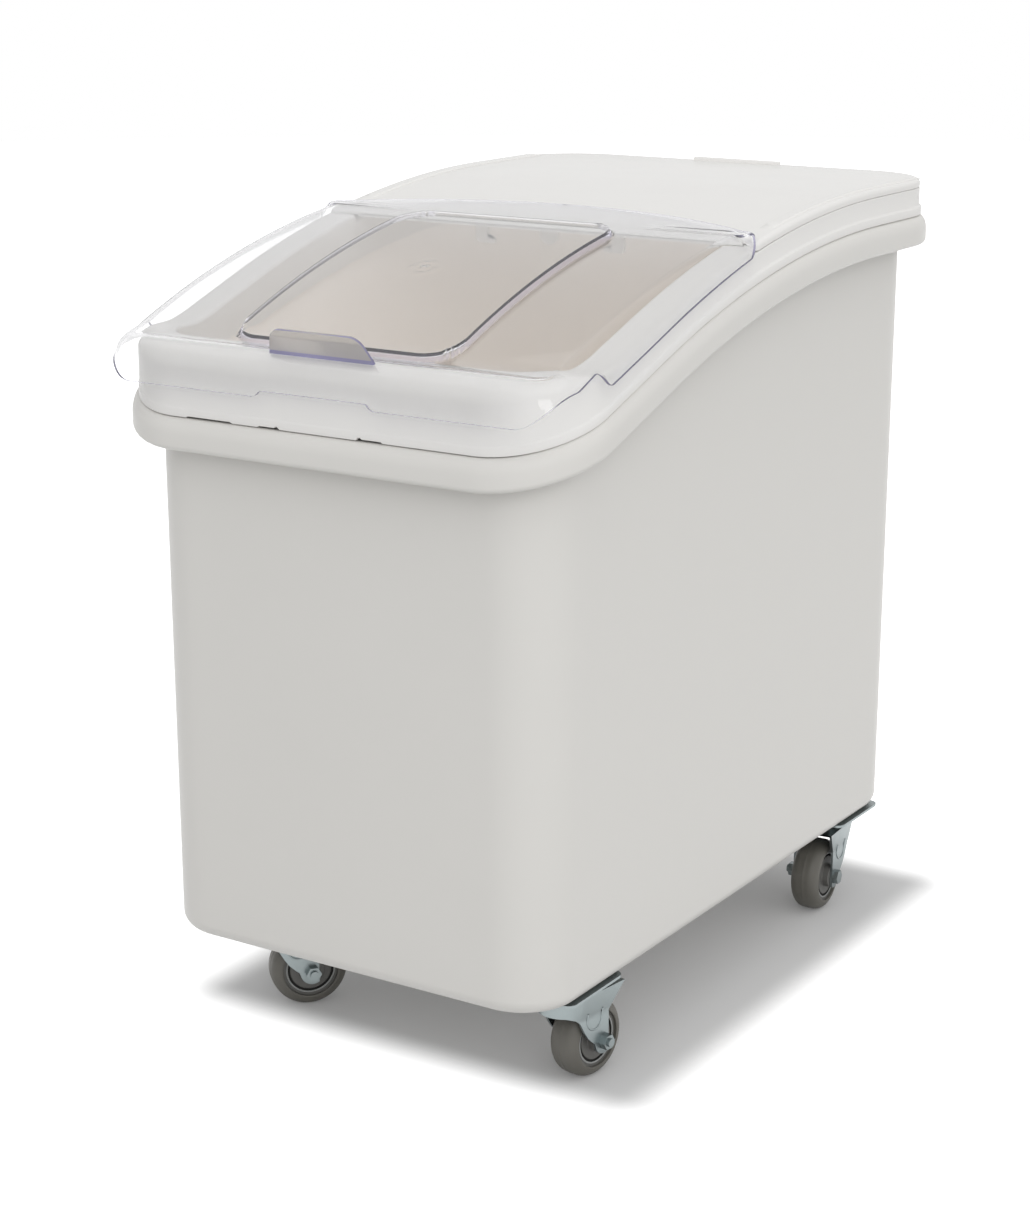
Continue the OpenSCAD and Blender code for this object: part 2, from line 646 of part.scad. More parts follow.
module fork(c) color("lightsteelblue") trailing(c) difference() {
    union() {
        intersection() {
            union() {
                hood();
                for (y = [-1, 1]) plate_at(y * (fork_half - fork_t / 2), fork_t) translate([0, leg_low_z])
                    square([trail + leg_end_r, hood_z + leg_lap - leg_low_z]);
            }
            plate_at(0, 2 * (hood_top_r + hood_room)) fork_outline();
        }
        translate([0, 0, crown_top - fork_t / 2]) difference() {
            cylinder(h = fork_t / 2 + shroud_h, r = shroud_r);
            translate([0, 0, -overrun])
                cylinder(h = fork_t + shroud_h + 2 * overrun, r = shroud_r - shroud_t);
        }
        for (y = [-1, 1]) plate_at(y * fork_half, 2 * rib_h) difference() {
            rib_outline(rib_r, rib_l);
            rib_outline(rib_r - rib_w, rib_l + overrun);
        }
    }
    translate([0, 0, crown_z - overrun]) cylinder(h = fork_t + 2 * overrun, r = kingpin_r + pin_gap);
    translate([trail, fork_gap, axle_z]) rotate([90, 0, 0]) cylinder(h = 2 * fork_gap, r = axle_r + pin_gap);
}

module axle_bolt(c) color("silver") on_axle(c) translate([0, 0, -fork_gap / 2 - fork_t - hex_h]) {
    hexagon(hex_af, hex_h);
    cylinder(h = hex_h + fork_gap + 2 * fork_t + nut_h + axle_tail, r = axle_r);
}

module axle_nut(c) color("silver") on_axle(c) translate([0, 0, fork_gap / 2 + fork_t]) difference() {
    hexagon(hex_af, nut_h);
    translate([0, 0, -overrun]) cylinder(h = nut_h + 2 * overrun, r = axle_r + pin_gap);
}

module axle_sleeve(c) color("gray") on_axle(c) translate([0, 0, -fork_gap / 2]) difference() {
    cylinder(h = fork_gap, r = sleeve_r);
    translate([0, 0, -overrun]) cylinder(h = fork_gap + 2 * overrun, r = axle_r + pin_gap);
}

module wheel_core(c) color("dimgray") on_axle(c) rotate_extrude() {
    bore = sleeve_r + pin_gap;
    polygon(concat(
        [for (m = [1, -1]) each
            let (edge = [[bore, hub_w / 2], [hub_r, hub_w / 2], [hub_r, core_w / 2], [groove_r, core_w / 2],
                         [groove_r, core_w / 2 - groove_d], [groove_r + groove_w, core_w / 2 - groove_d],
                         [groove_r + groove_w, core_w / 2], [core_r, core_w / 2]])
            m > 0 ? edge : [for (i = [len(edge) - 1:-1:0]) [edge[i][0], -edge[i][1]]]]));
}

module wheel_tread(c) color("gray") on_axle(c) rotate_extrude() {
    r = wheel_d / 2 - tread_edge_r;
    z = wheel_w / 2 - tread_edge_r;
    difference() {
        union() {
            translate([core_r, -core_w / 2]) square([r - core_r + tread_edge_r / 2, core_w]);
            translate([core_r, -z]) square([wheel_d / 2 - core_r, 2 * z]);
            for (s = [-1, 1]) translate([r, s * z]) circle(tread_edge_r);
        }
        translate([0, -wheel_w]) square([core_r, 2 * wheel_w]);
    }
}

module plate_bolts(c) color("silver") at_kingpin(c) at_plate_holes() {
    shank_z = plate_z - stud_nut_h - stud_tail;
    translate([0, 0, floor_z]) cylinder(h = stud_head_h, r = stud_head_r);
    translate([0, 0, shank_z]) cylinder(h = floor_z - shank_z + stud_head_h, r = stud_r);
}

module plate_nuts(c) color("silver") at_kingpin(c) at_plate_holes() translate([0, 0, plate_z - stud_nut_h])
    difference() {
        hexagon(stud_nut_af, stud_nut_h);
        translate([0, 0, -overrun]) cylinder(h = stud_nut_h + 2 * overrun, r = stud_r + pin_gap);
    }

bin_tub();
lid_frame();
rear_deck();
clear_lid();
for (c = casters) {
    top_plate(c);
    kingpin(c);
    swivel_balls(c);
    fork(c);
    axle_bolt(c);
    axle_nut(c);
    axle_sleeve(c);
    wheel_core(c);
    wheel_tread(c);
    plate_bolts(c);
    plate_nuts(c);
}
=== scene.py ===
import math
import bmesh
import bpy
import numpy as np
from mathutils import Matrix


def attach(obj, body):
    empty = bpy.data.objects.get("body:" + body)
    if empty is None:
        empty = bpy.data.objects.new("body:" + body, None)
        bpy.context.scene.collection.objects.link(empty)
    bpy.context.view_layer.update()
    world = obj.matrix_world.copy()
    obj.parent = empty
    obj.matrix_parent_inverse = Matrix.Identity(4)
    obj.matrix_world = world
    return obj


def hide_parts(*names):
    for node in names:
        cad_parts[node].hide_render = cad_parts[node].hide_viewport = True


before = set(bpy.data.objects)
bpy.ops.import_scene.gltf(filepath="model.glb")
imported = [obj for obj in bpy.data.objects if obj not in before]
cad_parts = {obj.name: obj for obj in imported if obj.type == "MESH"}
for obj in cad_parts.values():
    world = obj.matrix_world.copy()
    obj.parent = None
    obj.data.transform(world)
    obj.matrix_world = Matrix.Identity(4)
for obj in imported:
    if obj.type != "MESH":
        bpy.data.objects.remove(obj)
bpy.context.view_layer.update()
print("frame loaded with", len(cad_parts), "nodes")

mm = 0.001  # sizes below are in millimetres, meshes in metres


# Camera

shot = {
    "place": (1.29665, -2.10173, 1.04206),  # metres
    "turn": 32.5,  # degrees to the left of straight ahead
    "dip": 15.27,  # degrees below the horizon
    "focal": 2608.4,  # pixels of the photograph
    "imageH": 1230,
    "axisRow": 600,  # image row that the lens axis meets
    "sensor": 36.0,
}


def makeCamera():
    lens = bpy.data.cameras.new("photoCamera")
    lens.sensor_width = shot["sensor"]
    lens.lens = shot["focal"] / shot["imageH"] * shot["sensor"]
    lens.shift_y = (shot["axisRow"] - shot["imageH"] / 2) / shot["imageH"]
    camera = bpy.data.objects.new("photoCamera", lens)
    camera.location = shot["place"]
    camera.rotation_euler = (math.radians(90 - shot["dip"]), 0, math.radians(shot["turn"]))
    bpy.context.scene.collection.objects.link(camera)
    bpy.context.scene.camera = camera


makeCamera()
bpy.context.scene.view_settings.view_transform = "Standard"
print("camera set")


# Mesh helpers

def gridFaces(rows, cols, wrapRows, wrapCols):
    # quads between neighbouring points of a grid, rows and columns closing on themselves where asked
    i, j = np.meshgrid(np.arange(rows - (not wrapRows)), np.arange(cols - (not wrapCols)), indexing="ij")
    nextRow = (i + 1) % rows
    nextCol = (j + 1) % cols
    return np.stack([i * cols + j, i * cols + nextCol, nextRow * cols + nextCol, nextRow * cols + j],
                    axis=-1).reshape(-1, 4)


def makePiece(name, sheets, materials, body, sharp=40, nodes=()):
    # sheets are (points, wrapRows, wrapCols, material) grids in millimetres, welded where they meet
    points, faces, finishes, start = [], [], [], 0
    for grid, wrapRows, wrapCols, finish in sheets:
        quads = gridFaces(grid.shape[0], grid.shape[1], wrapRows, wrapCols)
        points.append(grid.reshape(-1, 3) * mm)
        faces.append(quads + start)
        finishes.append(np.broadcast_to(finish, len(quads)))
        start += grid.shape[0] * grid.shape[1]
    mesh = bpy.data.meshes.new(name)
    mesh.from_pydata(np.concatenate(points).tolist(), [], np.concatenate(faces).tolist())
    for material in materials:
        mesh.materials.append(material)
    mesh.polygons.foreach_set("material_index", np.concatenate(finishes).astype(np.int32))
    work = bmesh.new()
    work.from_mesh(mesh)
    bmesh.ops.remove_doubles(work, verts=work.verts, dist=weldGap * mm)
    bmesh.ops.dissolve_degenerate(work, edges=work.edges, dist=weldGap * mm)
    bmesh.ops.recalc_face_normals(work, faces=work.faces)
    work.to_mesh(mesh)
    work.free()
    mesh.shade_smooth()
    mesh.set_sharp_from_angle(angle=math.radians(sharp))
    piece = bpy.data.objects.new(name, mesh)
    bpy.context.scene.collection.objects.link(piece)
    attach(piece, body)
    if nodes:
        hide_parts(*nodes)
    return piece


weldGap = 0.002


def mix(a, b, t):
    return a + (b - a) * t


def smoothStep(t):
    t = np.clip(t, 0, 1)
    return t * t * (3 - 2 * t)


def smoothMax(a, b, reach):
    # the larger of two heights, with the corner between them rounded over the reach
    h = np.maximum(reach - np.abs(a - b), 0) / reach
    return np.maximum(a, b) + h * h * reach / 4


# Stations of an outline in plan: centre x and y, outward direction x and y, radius

def quarterTurn(cx, cy, radius, start, stop, steps):
    a = np.radians(np.linspace(start, stop, steps + 1))
    one = np.ones_like(a)
    return np.stack([cx * one, cy * one, np.cos(a), np.sin(a), radius * one], axis=1)


def straightSide(x, radius, ys):
    one = np.ones_like(ys)
    return np.stack([(x - radius) * one, ys, one, 0 * one, radius * one], axis=1)


def mirrored(half):
    return half[::-1] * np.array([-1, 1, -1, 1, 1])


def wholeLoop(half):
    return np.concatenate([half, mirrored(half)])


def bothSides(values):
    return np.concatenate([values, values[::-1]])


def stationPoint(loop, offset):
    reach = loop[:, 4] + offset
    return loop[:, 0] + loop[:, 2] * reach, loop[:, 1] + loop[:, 3] * reach


def sweep(loop, offsets, heights):
    # each station's centre plus its outward direction times radius and offset, at the section's heights
    reach = loop[:, 4:5] + offsets
    x = loop[:, 0:1] + loop[:, 2:3] * reach
    y = loop[:, 1:2] + loop[:, 3:4] * reach
    return np.stack([x, y, heights], axis=2)


def acrossCap(ring, cols):
    # rows between mirrored points of a ring, with evenly spaced points along each row
    half = len(ring) // 2
    right, left = ring[:half, None, :], ring[::-1][:half, None, :]
    return mix(right, left, np.linspace(0, 1, cols)[None, :, None])


def column(values):
    return np.asarray(values, float)[:, None]


def sections(count, *parts):
    # columns of a section side by side, constants spread over all the stations
    spread = [np.broadcast_to(np.asarray(p, float), (count, np.shape(p)[-1])) for p in parts]
    return np.concatenate(spread, axis=1)


def arc(start, stop, steps):
    return np.radians(np.linspace(start, stop, steps + 1))


# Rim line: flat at the rear, then an arc, then a straight slope to the front

rimLine = {"height": 727.2, "crestY": 215.0, "arcR": 1270.0, "slope": 18.8}


def fallBelow(y, radius):
    # drop of the arc up to the slope's angle, then a straight line at that angle
    d = np.maximum(rimLine["crestY"] - y, 0)
    bend = radius * math.sin(math.radians(rimLine["slope"]))
    onArc = np.minimum(d, bend)
    return radius - np.sqrt(radius ** 2 - onArc ** 2) + (d - onArc) * math.tan(math.radians(rimLine["slope"]))


def rimTop(y):
    return rimLine["height"] - fallBelow(y, rimLine["arcR"])


# Materials

def newMaterial(name):
    material = bpy.data.materials.new(name)
    material.use_nodes = True
    nodes = material.node_tree.nodes
    return material, nodes, material.node_tree.links, nodes["Principled BSDF"]


def makeGrainGroup():
    # moulded or cast skin: a cloudy tone, a fine grain and a patchy roughness, from Object coordinates
    group = bpy.data.node_groups.new("skinGrain", "ShaderNodeTree")
    face = group.interface
    for label, kind, value in (("Colour", "NodeSocketColor", (0.8, 0.8, 0.8, 1)),
                               ("Tone", "NodeSocketFloat", 0.04),
                               ("Cloud Scale", "NodeSocketFloat", 9.0),
                               ("Grain Scale", "NodeSocketFloat", 900.0),
                               ("Roughness", "NodeSocketFloat", 0.35),
                               ("Patch", "NodeSocketFloat", 0.08)):
        face.new_socket(label, in_out="INPUT", socket_type=kind).default_value = value
    face.new_socket("Colour", in_out="OUTPUT", socket_type="NodeSocketColor")
    face.new_socket("Roughness", in_out="OUTPUT", socket_type="NodeSocketFloat")
    face.new_socket("Height", in_out="OUTPUT", socket_type="NodeSocketFloat")
    nodes, links = group.nodes, group.links
    given, out = nodes.new("NodeGroupInput"), nodes.new("NodeGroupOutput")
    place = nodes.new("ShaderNodeTexCoord")
    cloud, grain = nodes.new("ShaderNodeTexNoise"), nodes.new("ShaderNodeTexNoise")
    cloud.inputs["Detail"].default_value = 3
    grain.inputs["Detail"].default_value = 2
    for noise, scale in ((cloud, "Cloud Scale"), (grain, "Grain Scale")):
        links.new(place.outputs["Object"], noise.inputs["Vector"])
        links.new(given.outputs[scale], noise.inputs["Scale"])
    centred = mathNode(nodes, links, "SUBTRACT", cloud.outputs["Fac"], 0.5)
    tone = mathNode(nodes, links, "MULTIPLY", centred, given.outputs["Tone"])
    shade = nodes.new("ShaderNodeHueSaturation")
    links.new(given.outputs["Colour"], shade.inputs["Color"])
    links.new(mathNode(nodes, links, "ADD", tone, 1.0), shade.inputs["Value"])
    patch = mathNode(nodes, links, "MULTIPLY", centred, given.outputs["Patch"])
    links.new(shade.outputs["Color"], out.inputs["Colour"])
    links.new(mathNode(nodes, links, "ADD", patch, given.outputs["Roughness"]), out.inputs["Roughness"])
    links.new(grain.outputs["Fac"], out.inputs["Height"])
    return group


def mathNode(nodes, links, operation, first, second):
    node = nodes.new("ShaderNodeMath")
    node.operation = operation
    for socket, value in zip(node.inputs, (first, second)):
        if isinstance(value, (int, float)):
            socket.default_value = value
        else:
            links.new(value, socket)
    return node.outputs[0]


skinGrain = makeGrainGroup()


def mouldedFinish(name, look):
    # one finish from the shared grain, with its constants on the shader's own sockets
    material, nodes, links, shader = newMaterial(name)
    skin = nodes.new("ShaderNodeGroup")
    skin.node_tree = skinGrain
    skin.inputs["Colour"].default_value = (*look["colour"], 1)
    for label, key in (("Tone", "tone"), ("Cloud Scale", "cloud"), ("Grain Scale", "grain"),
                       ("Roughness", "roughness"), ("Patch", "patch")):
        skin.inputs[label].default_value = look[key]
    bump = nodes.new("ShaderNodeBump")
    bump.inputs["Strength"].default_value = look["bump"]
    bump.inputs["Distance"].default_value = look["depth"] * mm
    links.new(skin.outputs["Height"], bump.inputs["Height"])
    links.new(skin.outputs["Colour"], shader.inputs["Base Color"])
    links.new(skin.outputs["Roughness"], shader.inputs["Roughness"])
    links.new(bump.outputs["Normal"], shader.inputs["Normal"])
    shader.inputs["Metallic"].default_value = look.get("metal", 0)
    shader.inputs["Specular IOR Level"].default_value = look.get("shine", 0.5)
    # painted light: a finish given a glow gives off its own colour
    shader.inputs["Emission Color"].default_value = (*look["colour"], 1)
    shader.inputs["Emission Strength"].default_value = look.get("glow", 0)
    return material


finishes = {
    "tubWhite": {"colour": (0.775, 0.762, 0.732), "tone": 0.03, "cloud": 7.0, "grain": 1400.0,
                 "roughness": 0.36, "patch": 0.1, "bump": 0.25, "depth": 0.08, "shine": 0.2},
    "tubInsideLit": {"colour": (0.88, 0.835, 0.785), "tone": 0.03, "cloud": 7.0, "grain": 1400.0,
                  "roughness": 0.42, "patch": 0.1, "bump": 0.25, "depth": 0.08, "shine": 0.2,
                  "glow": 0.12},  # painted light: the inside glows, and its colour is a lighter, warmer copy of the tub's white, to brighten the bin's inside
    "lidWhite": {"colour": (0.88, 0.87, 0.85), "tone": 0.02, "cloud": 9.0, "grain": 1600.0,
                 "roughness": 0.24, "patch": 0.08, "bump": 0.15, "depth": 0.06, "shine": 0.03},
    "zincPlate": {"colour": (0.27, 0.305, 0.31), "tone": 0.1, "cloud": 60.0, "grain": 2500.0,
                  "roughness": 0.34, "patch": 0.2, "bump": 0.1, "depth": 0.02, "metal": 1},
    "bearingSteel": {"colour": (0.5, 0.5, 0.5), "tone": 0.06, "cloud": 90.0, "grain": 3000.0,
                     "roughness": 0.18, "patch": 0.1, "bump": 0.05, "depth": 0.02, "metal": 1},
    "ringGrey": {"colour": (0.36, 0.37, 0.36), "tone": 0.06, "cloud": 90.0, "grain": 1800.0,
                 "roughness": 0.3, "patch": 0.1, "bump": 0.1, "depth": 0.03},
    # painted shade: near black for the wheel's groove and the fork's punched hole
    "paintedShadeDark": {"colour": (0.02, 0.02, 0.018), "tone": 0.1, "cloud": 60.0, "grain": 1800.0,
                   "roughness": 0.7, "patch": 0.1, "bump": 0.1, "depth": 0.03},
    "coreGrey": {"colour": (0.13, 0.128, 0.12), "tone": 0.1, "cloud": 60.0, "grain": 1800.0,
                 "roughness": 0.42, "patch": 0.12, "bump": 0.3, "depth": 0.06},
    "treadGrey": {"colour": (0.128, 0.122, 0.106), "tone": 0.12, "cloud": 70.0, "grain": 2200.0,
                  "roughness": 0.5, "patch": 0.15, "bump": 0.35, "depth": 0.06},
}
tubWhite, tubInsideLit, lidWhite, zincPlate, bearingSteel, ringGrey, paintedShadeDark, coreGrey, treadGrey = (
    mouldedFinish(name, look) for name, look in finishes.items())

clearLook = {
    "clearSheet": {"face": (0.975, 0.975, 0.977), "graze": (0.36, 0.355, 0.39), "power": 3.5, "through": 0.99,
                   "roughness": 0.03, "index": 1.42, "shade": (0.98, 0.98, 0.98)},
    "clearWall": {"face": (0.86, 0.845, 0.92), "graze": (0.66, 0.64, 0.78), "power": 3.0, "through": 0.85,
                  "roughness": 0.08, "index": 1.12, "shade": (0.95, 0.95, 0.96)},
    "clearEdge": {"face": (0.42, 0.40, 0.62), "graze": (0.33, 0.31, 0.52), "power": 3.0, "through": 0.5,
                  "roughness": 0.2, "index": 1.5, "shade": (0.85, 0.84, 0.9)},
    # painted shade: the tab's tint is a darker, browner copy of the clear sheet, for the shaded bin seen
    # through it
    "clearTabShaded": {"face": (0.72, 0.69, 0.65), "graze": (0.55, 0.53, 0.55), "power": 3.0, "through": 0.55,
                 "roughness": 0.12, "index": 1.5, "shade": (0.9, 0.89, 0.88)},
}


def clearFinish(name, look):
    # clear plastic that greys at grazing angles, partly its real tint over the longer path through the sheet
    # and partly painted shade for the dark surroundings seen along its edges; it also bends what shows
    # through it and lets the lamps pass
    material, nodes, links, shader = newMaterial(name)
    facing = nodes.new("ShaderNodeLayerWeight")
    tint = nodes.new("ShaderNodeMix")
    tint.data_type = "RGBA"
    tint.inputs["A"].default_value = (*look["face"], 1)
    tint.inputs["B"].default_value = (*look["graze"], 1)
    links.new(mathNode(nodes, links, "POWER", facing.outputs["Facing"], look["power"]), tint.inputs["Factor"])
    links.new(tint.outputs["Result"], shader.inputs["Base Color"])
    shader.inputs["Roughness"].default_value = look["roughness"]
    shader.inputs["IOR"].default_value = look["index"]
    shader.inputs["Transmission Weight"].default_value = look["through"]
    path = nodes.new("ShaderNodeLightPath")
    letThrough = nodes.new("ShaderNodeBsdfTransparent")
    letThrough.inputs["Color"].default_value = (*look["shade"], 1)
    choose = nodes.new("ShaderNodeMixShader")
    links.new(path.outputs["Is Shadow Ray"], choose.inputs[0])
    links.new(shader.outputs[0], choose.inputs[1])
    links.new(letThrough.outputs[0], choose.inputs[2])
    links.new(choose.outputs[0], nodes["Material Output"].inputs["Surface"])
    return material


clearSheet, clearWall, clearEdge, clearTabShaded = (clearFinish(name, look) for name, look in clearLook.items())
print("finishes made")


# Tub

tub = {
    "width": 430.0, "length": 714.0, "cornerR": 59.0, "wall": 4.0, "floor": 5.0, "floorR": 15.0,
    "draft": 0.25, "footZ": 100.0, "rimReach": 27.3, "rimH": 29.0, "rimT": 3.5, "rimFootR": 5.5,
    "rimTopW": 9.0, "rimTopH": 15.0, "rootR": 3.0, "edgeR": 1.5, "faceReach": 19.5, "deckFrontY": -40.0,
    "seam": 2.0,
}


def tubLoop():
    # front corner, side and rear corner of the right half, then the same mirrored
    x, r = tub["width"] / 2, tub["cornerR"]
    cornerY = tub["length"] / 2 - r
    front = np.linspace(-cornerY, tub["deckFrontY"] - tub["seam"] / 2, 41)[1:]
    rear = np.linspace(tub["deckFrontY"] + tub["seam"] / 2, rimLine["crestY"], 31)
    flat = np.linspace(rimLine["crestY"], cornerY, 9)[1:-1]
    return wholeLoop(np.concatenate([
        quarterTurn(x - r, -cornerY, r, -90, 0, 24),
        straightSide(x, r, np.concatenate([front, rear, flat])),
        quarterTurn(x - r, cornerY, r, 0, 90, 24)]))


def faceHeights(loop):
    # the rim's height at each station, taken where the lid hoop's face stands
    return column(rimTop(stationPoint(loop, tub["faceReach"])[1]))


def makeTub():
    # foot fillet, drafted wall, hollow rolled rim and inner wall, swept round the plan
    loop = tubLoop()
    g = faceHeights(loop)
    n, t = len(loop), tub
    lean = math.tan(math.radians(t["draft"]))

    def wallAt(z):
        return -(rimLine["height"] - z) * lean

    turn = arc(0, 90, 10)
    innerR, floorZ = t["floorR"] - t["wall"], t["footZ"] + t["floor"]
    up = np.linspace(0, 1, 12)[None, 1:]
    footTop = t["footZ"] + t["floorR"]
    wallZ = mix(footTop, g - t["rimT"] - t["rootR"], up)
    root, rootDown = arc(180, 90, 5), arc(90, 0, 5)
    foot, crown = arc(-90, 0, 8), arc(0, 90, 12)
    inZ = mix(g - t["edgeR"], floorZ + innerR, up)
    lip = t["rimReach"] - t["rimT"] - t["rootR"]
    offsets = sections(
        n, wallAt(t["footZ"]) - t["floorR"] * (1 - np.sin(turn)), wallAt(wallZ),
        t["rootR"] + t["rootR"] * np.cos(root[1:]), lip + t["rootR"] * np.cos(rootDown),
        t["rimReach"] - t["rimFootR"] + t["rimFootR"] * np.cos(foot),
        t["rimReach"] - t["rimTopW"] + t["rimTopW"] * np.cos(crown),
        t["edgeR"] - t["wall"] - t["edgeR"] * np.sin(arc(0, 90, 4)),
        wallAt(inZ) - t["wall"], (wallAt(floorZ) - t["wall"] - innerR * (1 - np.sin(turn)))[::-1])
    heights = sections(
        n, t["footZ"] + t["floorR"] * (1 - np.cos(turn)), wallZ,
        g - t["rimT"] - t["rootR"] + t["rootR"] * np.sin(root[1:]),
        g - t["rimT"] - t["rootR"] + t["rootR"] * np.sin(rootDown),
        g - t["rimH"] + t["rimFootR"] + t["rimFootR"] * np.sin(foot),
        g - t["rimTopH"] + t["rimTopH"] * np.sin(crown),
        g - t["edgeR"] + t["edgeR"] * np.cos(arc(0, 90, 4)),
        inZ, (floorZ + innerR * (1 - np.cos(turn)))[::-1])
    skin = sweep(loop, offsets, heights)
    # the inner wall, inner fillet and floor take the inside finish, whose brighter colour and glow are
    # painted light
    finishAt = np.zeros((n, skin.shape[1] - 1), int)
    finishAt[:, -len(turn) - inZ.shape[1]:] = 1
    return makePiece("tubShell", [
        (skin, True, False, finishAt.reshape(-1)), (acrossCap(skin[:, 0], 2), False, False, 0),
        (acrossCap(skin[:, -1], 2), False, False, 1)], [tubWhite, tubInsideLit], "bin",
        nodes=["bin_tub"])


makeTub()
print("tub made")


# Lid hoop

hoop = {
    "reach": 19.5, "thick": 3.0, "sideH": 33.0, "deckH": 27.2, "mouthLip": 15.0, "lipDrop": 14.0,
    "lipGap": 1.5, "beadOut": 2.3, "beadH": 10.0, "beadSoft": 2.5, "seat": 0.4, "frontZ": 661.2,
    "frontR": 21.0, "sideR": 6.0, "deckR": 1.5, "innerR": 3.0, "blend": 8.0, "gap": 0.5,
    "gapRuns": ((-140, -92, 1.1), (-62, -42, 1.1), (-44, -41, 2.4), (42, 45, 2.4), (43, 66, 1.2)),
}


def frontGap(loop):
    # height of the hoop's foot above the rim along the front: a fine gap, wider along a few runs
    x, _ = stationPoint(loop, hoop["reach"])
    wide = np.zeros_like(x)
    for start, stop, rise in hoop["gapRuns"]:
        wide = np.maximum(wide, rise * smoothStep(1 - np.maximum(start - x, x - stop)))
    return column((hoop["gap"] + wide) * np.maximum(0, -loop[:, 3]) ** 4)


def hoopLoop():
    # the tub's plan with closer points along the front, for the gap's runs
    loop = tubLoop()
    xs = np.linspace(-loop[0, 0], loop[0, 0], 209)[1:-1]
    one = np.ones_like(xs)
    front = np.stack([xs, loop[0, 1] * one, 0 * one, -one, loop[0, 4] * one], axis=1)
    return np.concatenate([loop, front])


def makeHoop():
    # foot bead, outer face, rounded top, mouth lip and locating lip, swept round the plan
    loop, h = hoopLoop(), hoop
    g, n = faceHeights(loop), len(loop)
    foot = g + h["seat"] + frontGap(loop)
    under = column(loop[:, 1] > tub["deckFrontY"]).astype(bool)
    front = column(np.maximum(0, -loop[:, 3]))
    top = np.where(under, g + h["deckH"], smoothMax(g + h["sideH"], h["frontZ"], h["blend"]))
    r = np.where(under, h["deckR"], mix(h["sideR"], h["frontR"], front ** 2))
    q = np.maximum(r, h["thick"] + h["deckR"])
    bead = mix(h["beadOut"], h["deckR"] / 2, front)
    crown = arc(0, 90, 12)
    soft = smoothStep(np.linspace(0, 1, 5))
    lipOut = -tub["wall"] - h["lipGap"]
    innerTop = arc(90, 180, 5)
    offsets = sections(
        n, h["reach"] + bead - [[0.6, 0.15, 0]], h["reach"] + bead * (1 - soft),
        h["reach"] - r * (1 - np.cos(crown)), h["innerR"] - h["mouthLip"] + h["innerR"] * np.cos(innerTop),
        [[lipOut - h["thick"], lipOut - h["thick"] + 1, lipOut, h["thick"] - h["mouthLip"]]],
        h["reach"] - q + (q - h["thick"]) * np.cos(crown[::-1]), [[h["reach"] - h["thick"]]])
    heights = sections(
        n, foot + [[0, 0.2, 0.8]], g + h["beadH"] - h["beadSoft"] * (1 - np.linspace(0, 1, 5)),
        top - r * (1 - np.sin(crown)), top - h["innerR"] * (1 - np.sin(innerTop)),
        g - h["lipDrop"], g - h["lipDrop"], g - h["lipDrop"], top - h["thick"],
        top - q + (q - h["thick"]) * np.sin(crown[::-1]), foot)
    skin = sweep(loop, offsets, heights)
    return makePiece("lidHoop", [(skin, True, True, 0)], [lidWhite], "lid", nodes=["lid_frame"])


makeHoop()
print("lid hoop made")


# Rear deck

deck = {
    "rise": 35.3, "thick": 3.0, "cornerR": 10.0, "edgeR": 6.0, "skirt": 7.7, "foot": 0.3, "fillet": 2.0,
    "lipD": 1.5, "railH": 1.5, "railW": 13.0, "railInset": 6.5, "railFrom": 5.0, "railTo": 330.0,
    "railBevel": 1.2, "railTaper": 14.0, "railBite": 0.6, "stopW": 101.0, "stopH": 3.4, "stopT": 4.0,
    "stopInset": 5.0, "hookY": -5.0, "hookX": 69.0, "hookW": 13.0, "hookFoot": 9.0, "hookT": 4.0,
    "hookDrop": 29.0, "tongueR": 10.0, "tongueDrop": 26.0, "edgeShare": 0.6, "filletShare": 0.3,
}
deckHalfW = tub["width"] / 2 + tub["faceReach"]
deckRearY = tub["length"] / 2 + tub["faceReach"]


def deckTop(y):
    return rimLine["height"] + deck["rise"] - fallBelow(y, rimLine["arcR"] + deck["rise"])


def makeDeck():
    # a thin curved sheet with a short skirt, swept round its outline and capped above and below
    d = deck
    rearR = tub["cornerR"] + tub["faceReach"]
    front = quarterTurn(deckHalfW - d["cornerR"], tub["deckFrontY"] + d["cornerR"], d["cornerR"], -90, 0, 10)
    ys = np.linspace(tub["deckFrontY"] + d["cornerR"], deckRearY - rearR, 48)[1:-1]
    half = np.concatenate([front, straightSide(deckHalfW, rearR, ys),
                           quarterTurn(deckHalfW - rearR, deckRearY - rearR, rearR, 0, 90, 24)])
    loop = wholeLoop(half)
    z = column(deckTop(stationPoint(loop, 0)[1]))
    depth = column(bothSides(np.concatenate([mix(d["thick"], d["skirt"], front[:, 2]),
                                             np.full(len(half) - len(front), d["skirt"])])))
    edge = np.minimum(d["edgeR"], depth * d["edgeShare"])
    drop = d["filletShare"] * (depth - d["thick"])
    turn = arc(0, 90, 8)
    offsets = sections(
        len(loop), [[-d["thick"] - d["fillet"], -d["thick"] - 0.4, -d["thick"]]],
        [[d["foot"] - d["thick"], -d["foot"], 0]], -edge * (1 - np.cos(turn)))
    heights = sections(
        len(loop), z - d["thick"], z - d["thick"] - drop * 0.4, z - d["thick"] - drop,
        z - depth, z - depth, z - depth + d["foot"],
        z - edge * (1 - np.sin(turn)))
    skin = sweep(loop, offsets, heights)
    return makePiece("deckCover", [
        (skin, True, False, 0), (acrossCap(skin[:, 0], 2), False, False, 0),
        (acrossCap(skin[:, -1], 2), False, False, 0)], [lidWhite], "lid", nodes=["rear_deck"])


def loftBar(name, rings, sharp=40):
    # a closed bar through rings of points, capped by drawing each end ring to its middle
    ends = [np.broadcast_to(r.mean(0), r.shape) for r in (rings[0], rings[-1])]
    grid = np.stack([ends[0], *rings, ends[1]])
    return makePiece(name, [(grid, False, True, 0)], [lidWhite], "lid", sharp=sharp)


